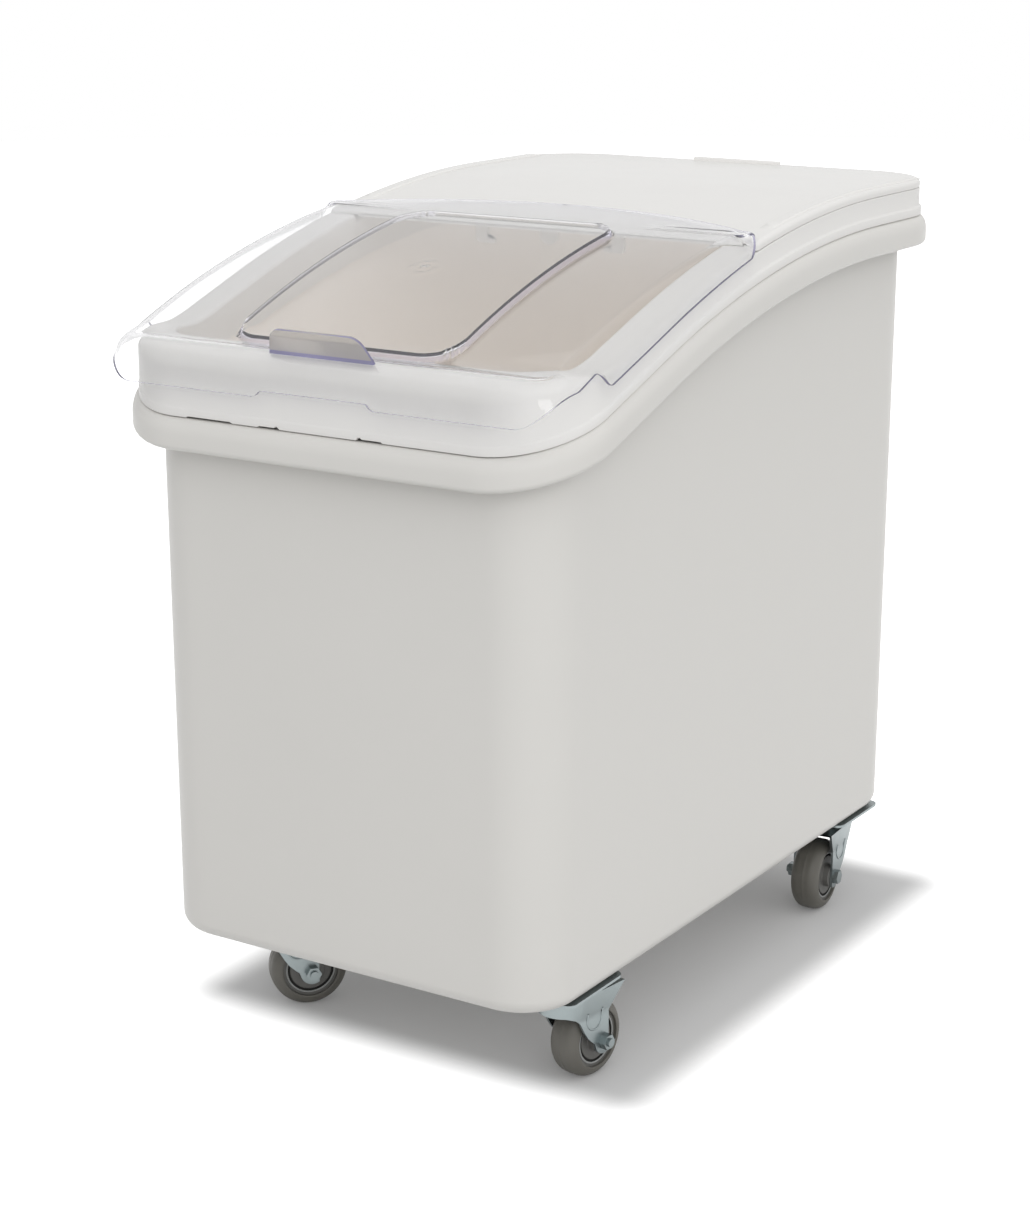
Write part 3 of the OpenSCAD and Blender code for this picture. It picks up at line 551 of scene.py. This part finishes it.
def makeDeckFittings():
    d = deck
    ys = np.linspace(d["railFrom"], d["railTo"], 60)
    lift = np.minimum(1, np.minimum(ys - d["railFrom"], d["railTo"] - ys) / d["railTaper"])
    for side, name in ((-1, "deckRailLeft"), (1, "deckRailRight")):
        x = side * (deckHalfW - d["railInset"] - d["railW"] / 2)
        half = d["railW"] / 2
        across = np.array([-half, half, half, half - d["railBevel"], d["railBevel"] - half, -half])
        rise = np.array([-d["railBite"], -d["railBite"], 0.2, 1, 1, 0.2])
        z = deckTop(ys)[:, None] + np.where(rise < 0, rise, rise * d["railH"] * lift[:, None])
        rings = np.stack([np.broadcast_to(x + across, z.shape), np.broadcast_to(ys[:, None], z.shape), z],
                         axis=2)
        loftBar(name, list(rings))
    half, top = d["stopW"] / 2, rimLine["height"] + d["rise"]
    y0 = deckRearY - d["stopInset"] - d["stopT"]
    turn = arc(0, 180, 10)
    profileY = np.concatenate([[y0, y0 + d["stopT"]], y0 + d["stopT"] / 2 * (1 + np.cos(turn))])
    profileZ = np.concatenate([[top - 1, top - 1], top + d["stopH"] - d["stopT"] / 2 * (1 - np.sin(turn))])
    xs = np.array([-half, -half + 1, half - 1, half])
    shrink = np.array([0.9, 1, 1, 0.9])[:, None]
    rings = np.stack([np.broadcast_to(xs[:, None], (4, len(profileY))),
                      np.broadcast_to(profileY, (4, len(profileY))),
                      top - 1 + (profileZ - top + 1) * shrink], axis=2)
    loftBar("deckStop", list(rings))
    z = deckTop(np.array([d["hookY"]]))[0] - d["thick"] / 2
    low, step = z - d["hookDrop"], z - d["hookDrop"] + d["hookT"]
    tip, inner, outer = d["hookX"] - d["hookFoot"], d["hookX"], d["hookX"] + d["hookW"]
    outline = np.array([[inner, z], [inner, step + 2], [inner - 2, step], [tip + 1, step], [tip, step - 1],
                        [tip, low + 1], [tip + 1, low], [outer - 3, low], [outer, low + 3], [outer, z]])
    turn = arc(180, 360, 24)
    bend = z - d["tongueDrop"] + d["tongueR"]
    bowl = np.stack([d["tongueR"] * np.cos(turn), bend + d["tongueR"] * np.sin(turn)], axis=1)
    tongue = np.concatenate([[[-d["tongueR"], z]], bowl, [[d["tongueR"], z]]])
    for name, shape in (("scoopHookRight", outline), ("scoopHookLeft", outline * [-1, 1]),
                        ("scoopTongue", tongue)):
        plateBar(name, shape, d["hookY"], d["hookT"])
    lip = deckTop(np.array([tub["deckFrontY"]]))[0] - d["thick"]
    half = tub["width"] / 2 - hoop["mouthLip"] - hoop["innerR"]
    strip = np.array([[-half, lip + 1], [-half, lip - d["lipD"]], [half, lip - d["lipD"]], [half, lip + 1]])
    plateBar("deckLip", strip, tub["deckFrontY"] + d["thick"] / 2, d["thick"])


def plateBar(name, outline, y, thick):
    # an outline across the bin given a thickness along it, with slightly softened faces
    middle = outline.mean(0)
    rings = []
    for step, scale in ((-0.5, 0.985), (-0.42, 1), (0.42, 1), (0.5, 0.985)):
        flat = middle + (outline - middle) * scale
        rings.append(np.stack([flat[:, 0], np.full(len(flat), y + step * thick), flat[:, 1]], axis=1))
    loftBar(name, rings)


makeDeck()
makeDeckFittings()
print("rear deck made")


# Clear lid

lid = {
    "crestZ": 754.0, "crestY": 80.0, "arcR": 1069.3, "thick": 3.0, "shoulderR": 24.0, "cornerR": 40.0,
    "frontZ": 664.6, "blend": 6.0, "sideGap": 1.0, "frontGap": 1.5, "skirtFront": 39.0, "nickD": 15.0,
    "nickY": -315.0, "nickStep": 20.0, "lap": 6.0, "flare": 0.08, "arcShare": 0.8, "rearCornerR": 20.0,
    "sideEndY": -50.0, "rearY": 25.0, "rearR": 3.4, "notchHalfW": 62.0, "notchRise": 5.4,
    "notchStep": 8.0, "panelHalfW": 115.0, "panelH": 6.0, "panelFrontY": -351.0, "panelRearY": -64.0,
    "panelCorner": 32.0, "panelWall": 3.4, "panelRoom": 20.0,
    "marks": ((-4.0, -208.0, 12.0, 0.5, 1.4), (-37.0, -333.0, 4.5, 0.4, 0), (26.0, -332.0, 4.5, 0.4, 0)),
    "nubR": 2.5, "ringW": 1.2, "rearMidX": 18.0, "wallEnd": 0.04,
}
lidHalfW = deckHalfW + lid["sideGap"] + lid["thick"]
lidFrontY = -(deckRearY + lid["frontGap"] + lid["thick"])


def lidTop(y):
    # the long arc, never below the landing at the front
    arch = lid["crestZ"] - lid["arcR"] + np.sqrt(lid["arcR"] ** 2 - (y - lid["crestY"]) ** 2)
    return smoothMax(arch, lid["frontZ"], lid["blend"])


def sideSkirt(y):
    # a shallow nick behind the front corner, then down over the hoop's edge
    deep = lidTop(y) - rimTop(y) - hoop["sideH"] + lid["lap"]
    return mix(lid["nickD"], deep, smoothStep((y - lid["nickY"]) / lid["nickStep"]))


def panelShare(x, y):
    # distance inside a rounded outline, turned into a share of the wall's height
    middle = (lid["panelFrontY"] + lid["panelRearY"]) / 2
    halfL = (lid["panelRearY"] - lid["panelFrontY"]) / 2
    r = lid["panelCorner"]
    dx = np.maximum(np.abs(x) - lid["panelHalfW"] + r, 0)
    dy = np.maximum(np.abs(y - middle) - halfL + r, 0)
    inside = np.minimum(r - np.hypot(dx, dy), r)
    return smoothStep(inside / lid["panelWall"] + 0.5)


def panelHeight(x, y):
    # the raised panel and the round marks left by the mould
    raised = lid["panelH"] * panelShare(x, y)
    for markX, markY, ringR, ringH, nubH in lid["marks"]:
        away = np.hypot(x - markX, y - markY)
        ring = ringH * np.exp(-((away - ringR) / lid["ringW"]) ** 2)
        raised = raised + ring + nubH * np.exp(-(away / lid["nubR"]) ** 2)
    return raised


def panelColumns():
    # places across the lid as shares from -1 to 1, close together where the panel's wall and corners are
    reach, corner = lid["panelHalfW"] + lid["panelWall"], lid["panelHalfW"] - lid["panelCorner"]
    half = np.concatenate([np.linspace(0, corner, 22)[:-1], np.linspace(corner, reach, 36)])
    return np.concatenate([-half[:0:-1], half])


def makeLid():
    # a ring with the shoulder's underside, cut edge and outside, round the outline, and caps of rows across
    c, r = lid, lid["shoulderR"]
    cornerY = lidFrontY + c["cornerR"]
    nick = c["nickY"] + c["nickStep"]
    ys = np.concatenate([np.linspace(cornerY, c["nickY"], 8)[1:], np.linspace(c["nickY"], nick, 8)[1:],
                         np.linspace(nick, c["sideEndY"], 70)[1:]])
    corner = quarterTurn(lidHalfW - c["cornerR"], cornerY, c["cornerR"], -90, 0, 28)
    side = straightSide(lidHalfW, c["cornerR"], ys)
    rearX = lidHalfW - c["rearCornerR"]
    turn = quarterTurn(rearX, c["sideEndY"], c["rearCornerR"], 0, 90, 16)[1:]
    bow = c["rearY"] - c["sideEndY"] - c["rearCornerR"]
    xs = np.linspace(rearX, c["rearMidX"], 26)[1:]
    one = np.ones_like(xs)
    rear = np.stack([xs, c["rearY"] - bow * (xs / rearX) ** 2, 0 * one, one, 0 * one], axis=1)
    half = np.concatenate([corner, side, turn, rear])
    ease = np.maximum(0, 1 - np.linspace(0, 90, 17)[1:] / 45)
    shoulder = np.concatenate([np.full(len(corner) + len(side), r), mix(c["rearR"], r, ease),
                               np.full(len(rear), c["rearR"])])
    skirt = np.concatenate([mix(c["nickD"], c["skirtFront"], (-corner[:, 3]) ** 3), sideSkirt(ys),
                            mix(c["rearR"], sideSkirt(np.array([c["sideEndY"]])), ease),
                            np.full(len(rear), c["rearR"])])
    cols = panelColumns()
    front = frontStations(cols, half[0])
    last = rearStations(cols, half[-1])
    loop = np.concatenate([half, last, mirrored(half), front])
    notch = smoothStep((c["notchHalfW"] - np.abs(front[:, 0])) / c["notchStep"])
    radius = np.concatenate([shoulder, np.full(len(last), c["rearR"]), shoulder[::-1],
                             np.full(len(front), r)])
    depth = np.concatenate([skirt, np.full(len(last), c["rearR"]), skirt[::-1],
                            c["skirtFront"] - c["notchRise"] * notch])
    skin, cut = lidRing(loop, column(radius), column(depth))
    rowsX = half[:, 0] + half[:, 2] * (half[:, 4] - shoulder)
    rowsY = half[:, 1] + half[:, 3] * (half[:, 4] - shoulder)
    caps = [lidCap(rowsX, rowsY, cols, drop) for drop in (0, c["thick"])]
    wall = [panelWallFaces(cap) * 2 for cap in caps]
    finishAt = np.zeros((skin.shape[0], skin.shape[1] - 1), int)
    finishAt[:, cut] = 1
    sheets = [(skin, True, False, finishAt.reshape(-1)), (caps[0], False, False, wall[0]),
              (caps[1], False, False, wall[1])]
    return makePiece("clearLid", sheets, [clearSheet, clearEdge, clearWall], "front_lid",
                     sharp=50, nodes=["clear_lid"])


def panelWallFaces(cap):
    # faces of a cap that lie on the raised panel's wall
    middle = (cap[1:, 1:] + cap[:-1, :-1]) / 2
    share = panelShare(middle[:, :, 0], middle[:, :, 1])
    return ((share > lid["wallEnd"]) & (share < 1 - lid["wallEnd"])).astype(int).reshape(-1)


def lidColumns(cols, w):
    # the panel's columns kept at their places where the row is wide enough, then one point at each end
    scale = np.minimum(1, (w - lid["panelRoom"]) / cols.max())
    return np.concatenate([w[:, None], cols[::-1][None, :] * scale[:, None], -w[:, None]], axis=1)


def frontStations(cols, first):
    one = np.ones_like(cols)
    return np.stack([cols, first[1] * one, 0 * one, -one, first[4] * one], axis=1)


def rearStations(cols, final):
    xs = lidColumns(cols, final[0:1])[0, 1:-1]
    one = np.ones_like(xs)
    return np.stack([xs, final[1] * one, 0 * one, one, 0 * one], axis=1)


def lidRing(loop, r, d):
    c = lid
    y = loop[:, 1:2] + loop[:, 3:4] * (loop[:, 4:5] - r)
    z = lidTop(y) - r
    end = np.arccos(1 - np.minimum(1, c["arcShare"] * d / r))
    q = r - c["thick"]
    share = np.linspace(0, 1, 13)[None, :]
    flare = c["flare"] * (d - c["rearR"])
    foot = z + r - d
    inner, outer = -r + q * np.sin(end), -r + r * np.sin(end)
    low = np.linspace(0, 1, 5)[None, 1:]
    offsets = sections(
        len(loop), -r + q * np.sin(share * end), mix(inner, inner + flare, low), outer + flare,
        mix(outer + flare, outer, low), -r + r * np.sin(share[:, ::-1][:, 1:] * end))
    innerZ, outerZ = z + q * np.cos(end), z + r * np.cos(end)
    heights = sections(
        len(loop), z + q * np.cos(share * end), mix(innerZ, foot, low), foot, mix(foot, outerZ, low),
        z + r * np.cos(share[:, ::-1][:, 1:] * end))
    return sweep(loop, offsets, heights), share.shape[1] + low.shape[1] - 1


def lidCap(w, y, cols, drop):
    x = lidColumns(cols, w)
    rows = np.broadcast_to(y[:, None], x.shape)
    z = lidTop(rows) - drop
    inner = panelHeight(x, rows)
    inner[:, [0, -1]] = 0
    inner[[0, -1]] = 0
    return np.stack([x, rows, z + inner], axis=2)


tab = {
    "rootW": 109.0, "topW": 91.0, "height": 25.0, "lean": 26.0, "thick": 3.2, "cornerR": 9.0,
    "rootY": -366.0, "edge": 0.6, "rootBite": 1.5, "band": 4.0,
}


def makeTab():
    # rows of a bevelled bar from the root to the top, narrower upwards, leaning towards the front
    t, e = tab, tab["edge"]
    rise = np.concatenate([[0, t["band"] - 0.2, t["band"]],
                           np.linspace(t["band"] + 1, t["height"] - t["cornerR"], 6),
                           t["height"] - t["cornerR"] * (1 - np.sin(arc(0, 84, 12)[1:]))])
    over = np.maximum(rise - t["height"] + t["cornerR"], 0)
    half = mix(t["rootW"], t["topW"], rise / t["height"]) / 2
    half = half - t["cornerR"] + np.sqrt(t["cornerR"] ** 2 - over ** 2)
    across = np.array([-1, -1, 1, 1, 1, 1, -1, -1])
    inset = np.array([0, e, e, 0, 0, e, e, 0])
    depth = np.array([e, 0, 0, e, t["thick"] - e, t["thick"], t["thick"], t["thick"] - e])
    x = across * (half[:, None] - inset)
    lean = math.radians(t["lean"])
    z0 = lidTop(np.array([t["rootY"]]))[0] - t["rootBite"]
    up, out = rise[:, None], depth[None, :]
    grid = np.stack([x, t["rootY"] - up * math.sin(lean) - out * math.cos(lean),
                     z0 + up * math.cos(lean) - out * math.sin(lean)], axis=2)
    ends = [np.broadcast_to(grid[k].mean(0), grid[k].shape)[None] for k in (0, -1)]
    finish = np.zeros((len(rise) + 1, len(across)), int)
    finish[:3] = 1
    finish[:, [3, 7]] = 1
    skin = np.concatenate([ends[0], grid, ends[1]])
    return makePiece("fingerTab", [(skin, False, True, finish.reshape(-1))], [clearTabShaded, clearEdge],
                     "front_lid", sharp=50)


makeLid()
makeTab()
print("clear lid made")


# Casters

casterFinish = {
    "top_plate": zincPlate, "kingpin": zincPlate, "swivel_balls": bearingSteel, "fork": zincPlate,
    "axle_bolt": zincPlate, "axle_nut": zincPlate, "axle_sleeve": bearingSteel, "wheel_core": coreGrey,
    "wheel_tread": treadGrey, "plate_bolts": zincPlate, "plate_nuts": zincPlate,
}
for name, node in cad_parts.items():
    part = name.split("_", 1)[1]
    if part in casterFinish:
        node.data.materials.clear()
        node.data.materials.append(casterFinish[part])

casters = {  # kingpin x and y, direction of the trail in degrees
    "fl": (-152.0, -258.0, 50.0), "fr": (173.0, -258.0, 82.0),
    "rl": (-152.0, 281.0, -118.0), "rr": (173.0, 281.0, -86.0),
}
wheel = {
    "trail": 32.0, "axleZ": 37.5, "treadR": 37.5, "treadHalfW": 15.5, "edgeR": 11.0, "line": 0.15,
    "lineW": 0.5, "coreR": 27.0, "coreHalfW": 12.5, "ringOut": 24.2, "ringIn": 22.6, "ringH": 0.4,
    "grooveIn": 20.4, "grooveD": 2.2, "hubR": 12.0, "hubHalfW": 19.2, "boreR": 6.7, "soft": 0.5,
    "coreGap": 0.1, "steps": 96,
}


def placed(points, caster):
    # points along the trail, along the axle and up from the floor, turned and moved to the caster's kingpin
    kx, ky, heading = caster
    a = math.radians(heading)
    points = np.asarray(points, float)
    return np.stack([kx + points[..., 0] * math.cos(a) - points[..., 1] * math.sin(a),
                     ky + points[..., 0] * math.sin(a) + points[..., 1] * math.cos(a),
                     points[..., 2]], axis=-1)


def lathe(profile, caster):
    # radius and width pairs turned about the caster's axle
    turn = np.radians(np.linspace(0, 360, wheel["steps"] + 1)[:-1])
    r, w = np.asarray(profile)[:, :1], np.asarray(profile)[:, 1:]
    return placed(np.stack([wheel["trail"] + r * np.cos(turn), np.broadcast_to(w, (len(r), len(turn))),
                            wheel["axleZ"] + r * np.sin(turn)], axis=2), caster)


def bothFaces(edge):
    # one face's profile from the middle inwards, mirrored for the other face
    edge = np.asarray(edge, float)
    return np.concatenate([edge, edge[::-1] * [1, -1]])


def treadProfile():
    # a faint mould line round the middle, a round shoulder and the step down to the core
    w = wheel
    r, flat = w["treadR"] - w["line"], w["treadHalfW"] - w["edgeR"]
    turn = arc(90, 0, 20)
    shoulder = np.stack([r - w["edgeR"] + w["edgeR"] * np.sin(turn),
                         flat + w["edgeR"] * np.cos(turn)], axis=1)
    shoulder = shoulder[shoulder[:, 0] > w["coreR"] + w["soft"]]
    return bothFaces(np.concatenate([
        [[w["treadR"], w["lineW"] / 3], [r, w["lineW"]]], shoulder,
        [[w["coreR"], w["treadHalfW"] - w["soft"]], [w["coreR"], w["coreHalfW"] - w["soft"]]]]))


def coreProfile():
    # flat outer band, raised ring, groove, web and hub
    w, f = wheel, wheel["coreHalfW"]
    s = w["soft"]
    return bothFaces([
        [w["coreR"] - w["coreGap"], f], [w["ringOut"], f], [w["ringOut"] - s / 2, f + w["ringH"]],
        [w["ringIn"] + s / 2, f + w["ringH"]], [w["ringIn"], f], [w["ringIn"] - s / 2, f - w["grooveD"]],
        [w["grooveIn"] + s, f - w["grooveD"]], [w["grooveIn"], f - s], [w["grooveIn"] - s, f],
        [w["hubR"] + s, f], [w["hubR"], f + s], [w["hubR"], w["hubHalfW"] - s],
        [w["hubR"] - s, w["hubHalfW"]], [w["boreR"], w["hubHalfW"]]])


fork = {
    "top": 90.71, "thick": 2.5, "hoodR": 26.5, "hoodL": 56.0, "legHalf": 22.0, "legL": 38.4,
    "hoodH": 24.7, "frontH": 17.0, "frontX": -38.5, "endR": 12.0, "ribBack": 14.0, "ribRise": 26.0,
    "ribR": 10.2, "ribL": 8.0, "ribW": 0.9, "ribH": 0.8, "dotBack": 4.2, "dotZ": 69.0, "dotR": 1.5,
    "shroudR": 25.0, "shroudT": 2.0, "shroudH": 4.8,
    "edgeShares": ((0, 0), (0.08, 0.1), (0.18, 0.25), (0.26, 0.43), (0.32, 0.6), (0.38, 0.76),
                   (0.47, 0.88), (0.6, 0.97), (1, 1)),
    "shroudSoft": 0.4, "ribBite": 0.05, "dotLift": 0.25,
}


def forkFoot(x):
    # height of the sheet's lower edge: round under the axle, then the curve that rises to the front
    f, w = fork, wheel
    shares = np.array(f["edgeShares"])
    curveX = mix(w["trail"] - f["endR"], f["frontX"], shares[:, 0])
    curveZ = mix(w["axleZ"], f["top"] - f["frontH"], shares[:, 1])
    rising = np.interp(-x, -curveX, curveZ)
    rounded = w["axleZ"] - np.sqrt(np.maximum(f["endR"] ** 2 - (x - w["trail"]) ** 2, 0))
    return np.where(x > w["trail"] - f["endR"], rounded, rising)


def hoodSkin(inset):
    # columns round the hood from one rear edge to the other, each from the crown down to the sheet's edge
    f = fork
    along = np.concatenate([np.linspace(1, 0, 25)[:-1], np.zeros(37), np.linspace(0, 1, 25)[1:]])[:, None]
    turn = np.concatenate([np.full(24, 270.0), np.linspace(270, 90, 37), np.full(24, 90.0)])
    turn = np.radians(turn)[:, None]
    foot = forkFoot(along * f["legL"] + f["legHalf"] * np.cos(turn))
    bend = np.maximum(f["top"] - f["hoodH"], foot)
    down = np.linspace(0, 1, 9)[None, :]
    z = np.concatenate([mix(f["top"] - inset, bend, down), mix(bend, foot, down[:, 1:])], axis=1)
    t = np.clip((f["top"] - z) / f["hoodH"], 0, 1)
    r = mix(f["hoodR"], f["legHalf"], t) - inset
    x = along * mix(f["hoodL"], f["legL"], t) + r * np.cos(turn)
    return np.stack([x, r * np.sin(turn), z], axis=2)


def turnedRing(section):
    # radius and height pairs turned about the kingpin
    turn = np.radians(np.linspace(0, 360, 65)[:-1])
    r, z = np.asarray(section, float)[:, :1], np.asarray(section, float)[:, 1:]
    return np.stack([r * np.cos(turn), r * np.sin(turn), np.broadcast_to(z, (len(r), len(turn)))], axis=2)


def ribBead(side):
    # half-round bead along a U on a leg
    f = fork
    turn = arc(180, 360, 24)
    pathX = np.concatenate([[-f["ribR"]], f["ribR"] * np.cos(turn), [f["ribR"]]])
    pathZ = np.concatenate([[f["ribL"]], f["ribR"] * np.sin(turn), [f["ribL"]]])
    outX = np.concatenate([[-1], np.cos(turn), [1]])[:, None]
    outZ = np.concatenate([[0], np.sin(turn), [0]])[:, None]
    bow = arc(0, 180, 8)[None, :]
    across, rise = f["ribW"] * np.cos(bow), f["ribH"] * np.sin(bow)
    t = np.clip((f["hoodH"] - f["top"] + wheel["axleZ"] + f["ribRise"] + pathZ) / f["hoodH"], 0, 1)[:, None]
    return np.stack([wheel["trail"] - f["ribBack"] + pathX[:, None] + outX * across,
                     side * (mix(f["legHalf"], f["hoodR"], t) - f["ribBite"] + rise),
                     wheel["axleZ"] + f["ribRise"] + pathZ[:, None] + outZ * across], axis=2)


def punchDot(side):
    # painted shade: a small near-black disc that stands for the shaded inside of a punched hole
    f = fork
    turn = np.radians(np.linspace(0, 360, 17)[:-1])
    t = (f["dotZ"] - f["top"] + f["hoodH"]) / f["hoodH"]
    r = np.array([[f["dotR"]], [0]])
    y = side * (mix(f["legHalf"], f["hoodR"], t) + f["dotLift"])
    return np.stack([wheel["trail"] - f["dotBack"] + r * np.cos(turn), np.full((2, len(turn)), y),
                     f["dotZ"] + r * np.sin(turn)], axis=2)


def makeFork(name, caster):
    f = fork
    outer, inner = hoodSkin(0), hoodSkin(f["thick"])
    shell = np.concatenate([outer, inner[:, ::-1]], axis=1)
    ends = [np.stack([outer[k], inner[k]], axis=1) for k in (0, -1)]
    crown = [acrossCap(skin[:, 0], 2) for skin in (outer, inner)]
    low, high = f["top"] - f["thick"] / 2, f["top"] + f["shroudH"]
    soft = f["shroudSoft"]
    ring = turnedRing([[f["shroudR"], low], [f["shroudR"], high - soft], [f["shroudR"] - soft, high],
                       [f["shroudR"] - f["shroudT"], high], [f["shroudR"] - f["shroudT"], low]])
    sheets = [(shell, False, False, 0), *((end, False, False, 0) for end in ends),
              *((c, False, False, 0) for c in crown), (ring, True, True, 0),
              *((ribBead(side), False, False, 0) for side in (-1, 1)),
              *((punchDot(side), False, True, 1) for side in (-1, 1))]
    sheets = [(placed(grid, caster), rows, cols, finish) for grid, rows, cols, finish in sheets]
    return makePiece(name + "Fork", sheets, [zincPlate, paintedShadeDark], name + "_swivel_body", sharp=30,
                     nodes=[name + "_fork"])


def coreFinish():
    # ring faces lighter grey and groove faces near black, a painted shade in the groove, on both sides of the
    # wheel
    side = np.zeros(14, int)
    side[1:4] = 1
    side[4:7] = 2
    return np.concatenate([side[:-1], [0], side[-2::-1], [0]])


for name, caster in casters.items():
    makePiece(name + "Tread", [(lathe(treadProfile(), caster), True, True, 0)], [treadGrey], name + "_wheel",
              nodes=[name + "_wheel_tread"])
    coreFaces = np.repeat(coreFinish(), wheel["steps"])
    makePiece(name + "Core", [(lathe(coreProfile(), caster), True, True, coreFaces)],
              [coreGrey, ringGrey, paintedShadeDark], name + "_wheel", nodes=[name + "_wheel_core"])
    makeFork(name, caster)
print("casters made")


# Floor and light

# shadowAt, shadowHalf, shadowGlow and fade place the painted shadow box under the bin
stage = {
    "radius": 9.0, "floor": (0.65, 0.65, 0.65), "shadowAt": (0.01, 0.057, 0),
    "shadowHalf": (0.215, 0.3, 0), "shadowGlow": 0.09, "farGlow": 1.0, "fade": 0.075, "sky": 0.62,
    "lean": (0.5, -0.34, 0.1),
}
lamps = {
    "overhead": {"place": (-0.2, -0.2, 3.1), "aim": (0, 0, 0.3), "size": 4.0, "power": 16.0},
    "key": {"place": (2.5, -2.8, 2.0), "aim": (0, 0, 0.42), "size": 1.8, "power": 18.0},
}


def seenRays(nodes, links):
    # 1 for what the camera sees, also by reflection or through clear plastic, 0 for light on the object
    path = nodes.new("ShaderNodeLightPath")
    either = mathNode(nodes, links, "MAXIMUM", path.outputs["Is Camera Ray"], path.outputs["Is Glossy Ray"])
    either = mathNode(nodes, links, "MAXIMUM", either, path.outputs["Is Transmission Ray"])
    fresh = mathNode(nodes, links, "LESS_THAN", path.outputs["Diffuse Depth"], 0.5)
    return mathNode(nodes, links, "MULTIPLY", either, fresh)


def makeFloor():
    # a disc on the ground; its glow, seen by the camera, grows outside a box under the bin, a painted shadow
    # box inside which the floor's own shading shows
    turns = np.linspace(0, 2 * np.pi, 97)[:-1]
    rings = np.array([0.0, 1.0, 3.0, stage["radius"]])
    points = np.stack([rings[:, None] * np.cos(turns), rings[:, None] * np.sin(turns),
                       np.zeros((len(rings), len(turns)))], axis=2)
    mesh = bpy.data.meshes.new("paleFloor")
    mesh.from_pydata(points.reshape(-1, 3).tolist(), [],
                     gridFaces(len(rings), len(turns), False, True).tolist())
    material, nodes, links, shader = newMaterial("paleFloor")
    shader.inputs["Base Color"].default_value = (*stage["floor"], 1)
    shader.inputs["Roughness"].default_value = 1
    shader.inputs["Specular IOR Level"].default_value = 0
    vector = nodes.new("ShaderNodeTexCoord").outputs["Object"]
    for operation, other in (("SUBTRACT", stage["shadowAt"]), ("ABSOLUTE", None),
                             ("SUBTRACT", stage["shadowHalf"]), ("MAXIMUM", (0, 0, 0)), ("LENGTH", None)):
        step = nodes.new("ShaderNodeVectorMath")
        step.operation = operation
        links.new(vector, step.inputs[0])
        if other:
            step.inputs[1].default_value = other
        vector = step.outputs[0]
    grow = nodes.new("ShaderNodeMapRange")
    grow.interpolation_type = "SMOOTHSTEP"
    for label, value in (("From Min", 0), ("From Max", stage["fade"]),
                         ("To Min", stage["shadowGlow"]), ("To Max", stage["farGlow"])):
        grow.inputs[label].default_value = value
    links.new(step.outputs["Value"], grow.inputs["Value"])
    shader.inputs["Emission Color"].default_value = (1, 1, 1, 1)
    links.new(mathNode(nodes, links, "MULTIPLY", grow.outputs["Result"], seenRays(nodes, links)),
              shader.inputs["Emission Strength"])
    mesh.materials.append(material)
    floor = bpy.data.objects.new("paleFloor", mesh)
    bpy.context.scene.collection.objects.link(floor)


def makeSky():
    # light that is stronger from the front right, and a plain white for what the camera sees
    world = bpy.data.worlds.new("studio")
    bpy.context.scene.world = world
    world.use_nodes = True
    nodes, links = world.node_tree.nodes, world.node_tree.links
    light = nodes["Background"]
    light.inputs["Color"].default_value = (1, 1, 1, 1)
    slant = nodes.new("ShaderNodeVectorMath")
    slant.operation = "DOT_PRODUCT"
    links.new(nodes.new("ShaderNodeTexCoord").outputs["Generated"], slant.inputs[0])
    slant.inputs[1].default_value = stage["lean"]
    share = mathNode(nodes, links, "ADD", slant.outputs["Value"], 1)
    links.new(mathNode(nodes, links, "MULTIPLY", share, stage["sky"]), light.inputs["Strength"])
    seen = nodes.new("ShaderNodeBackground")
    seen.inputs["Color"].default_value = (1, 1, 1, 1)
    choose = nodes.new("ShaderNodeMixShader")
    links.new(seenRays(nodes, links), choose.inputs[0])
    links.new(light.outputs[0], choose.inputs[1])
    links.new(seen.outputs[0], choose.inputs[2])
    links.new(choose.outputs[0], nodes["World Output"].inputs["Surface"])


def makeLamps():
    for name, spec in lamps.items():
        lamp = bpy.data.lights.new(name, "AREA")
        lamp.shape = "SQUARE"
        lamp.size = spec["size"]
        lamp.energy = spec["power"]
        holder = bpy.data.objects.new(name, lamp)
        holder.location = spec["place"]
        towards = np.array(spec["aim"]) - np.array(spec["place"])
        flat = math.hypot(towards[0], towards[1])
        holder.rotation_euler = (math.atan2(flat, -towards[2]), 0, math.atan2(-towards[0], towards[1]))
        bpy.context.scene.collection.objects.link(holder)


makeFloor()
makeSky()
makeLamps()
print("floor and light made")
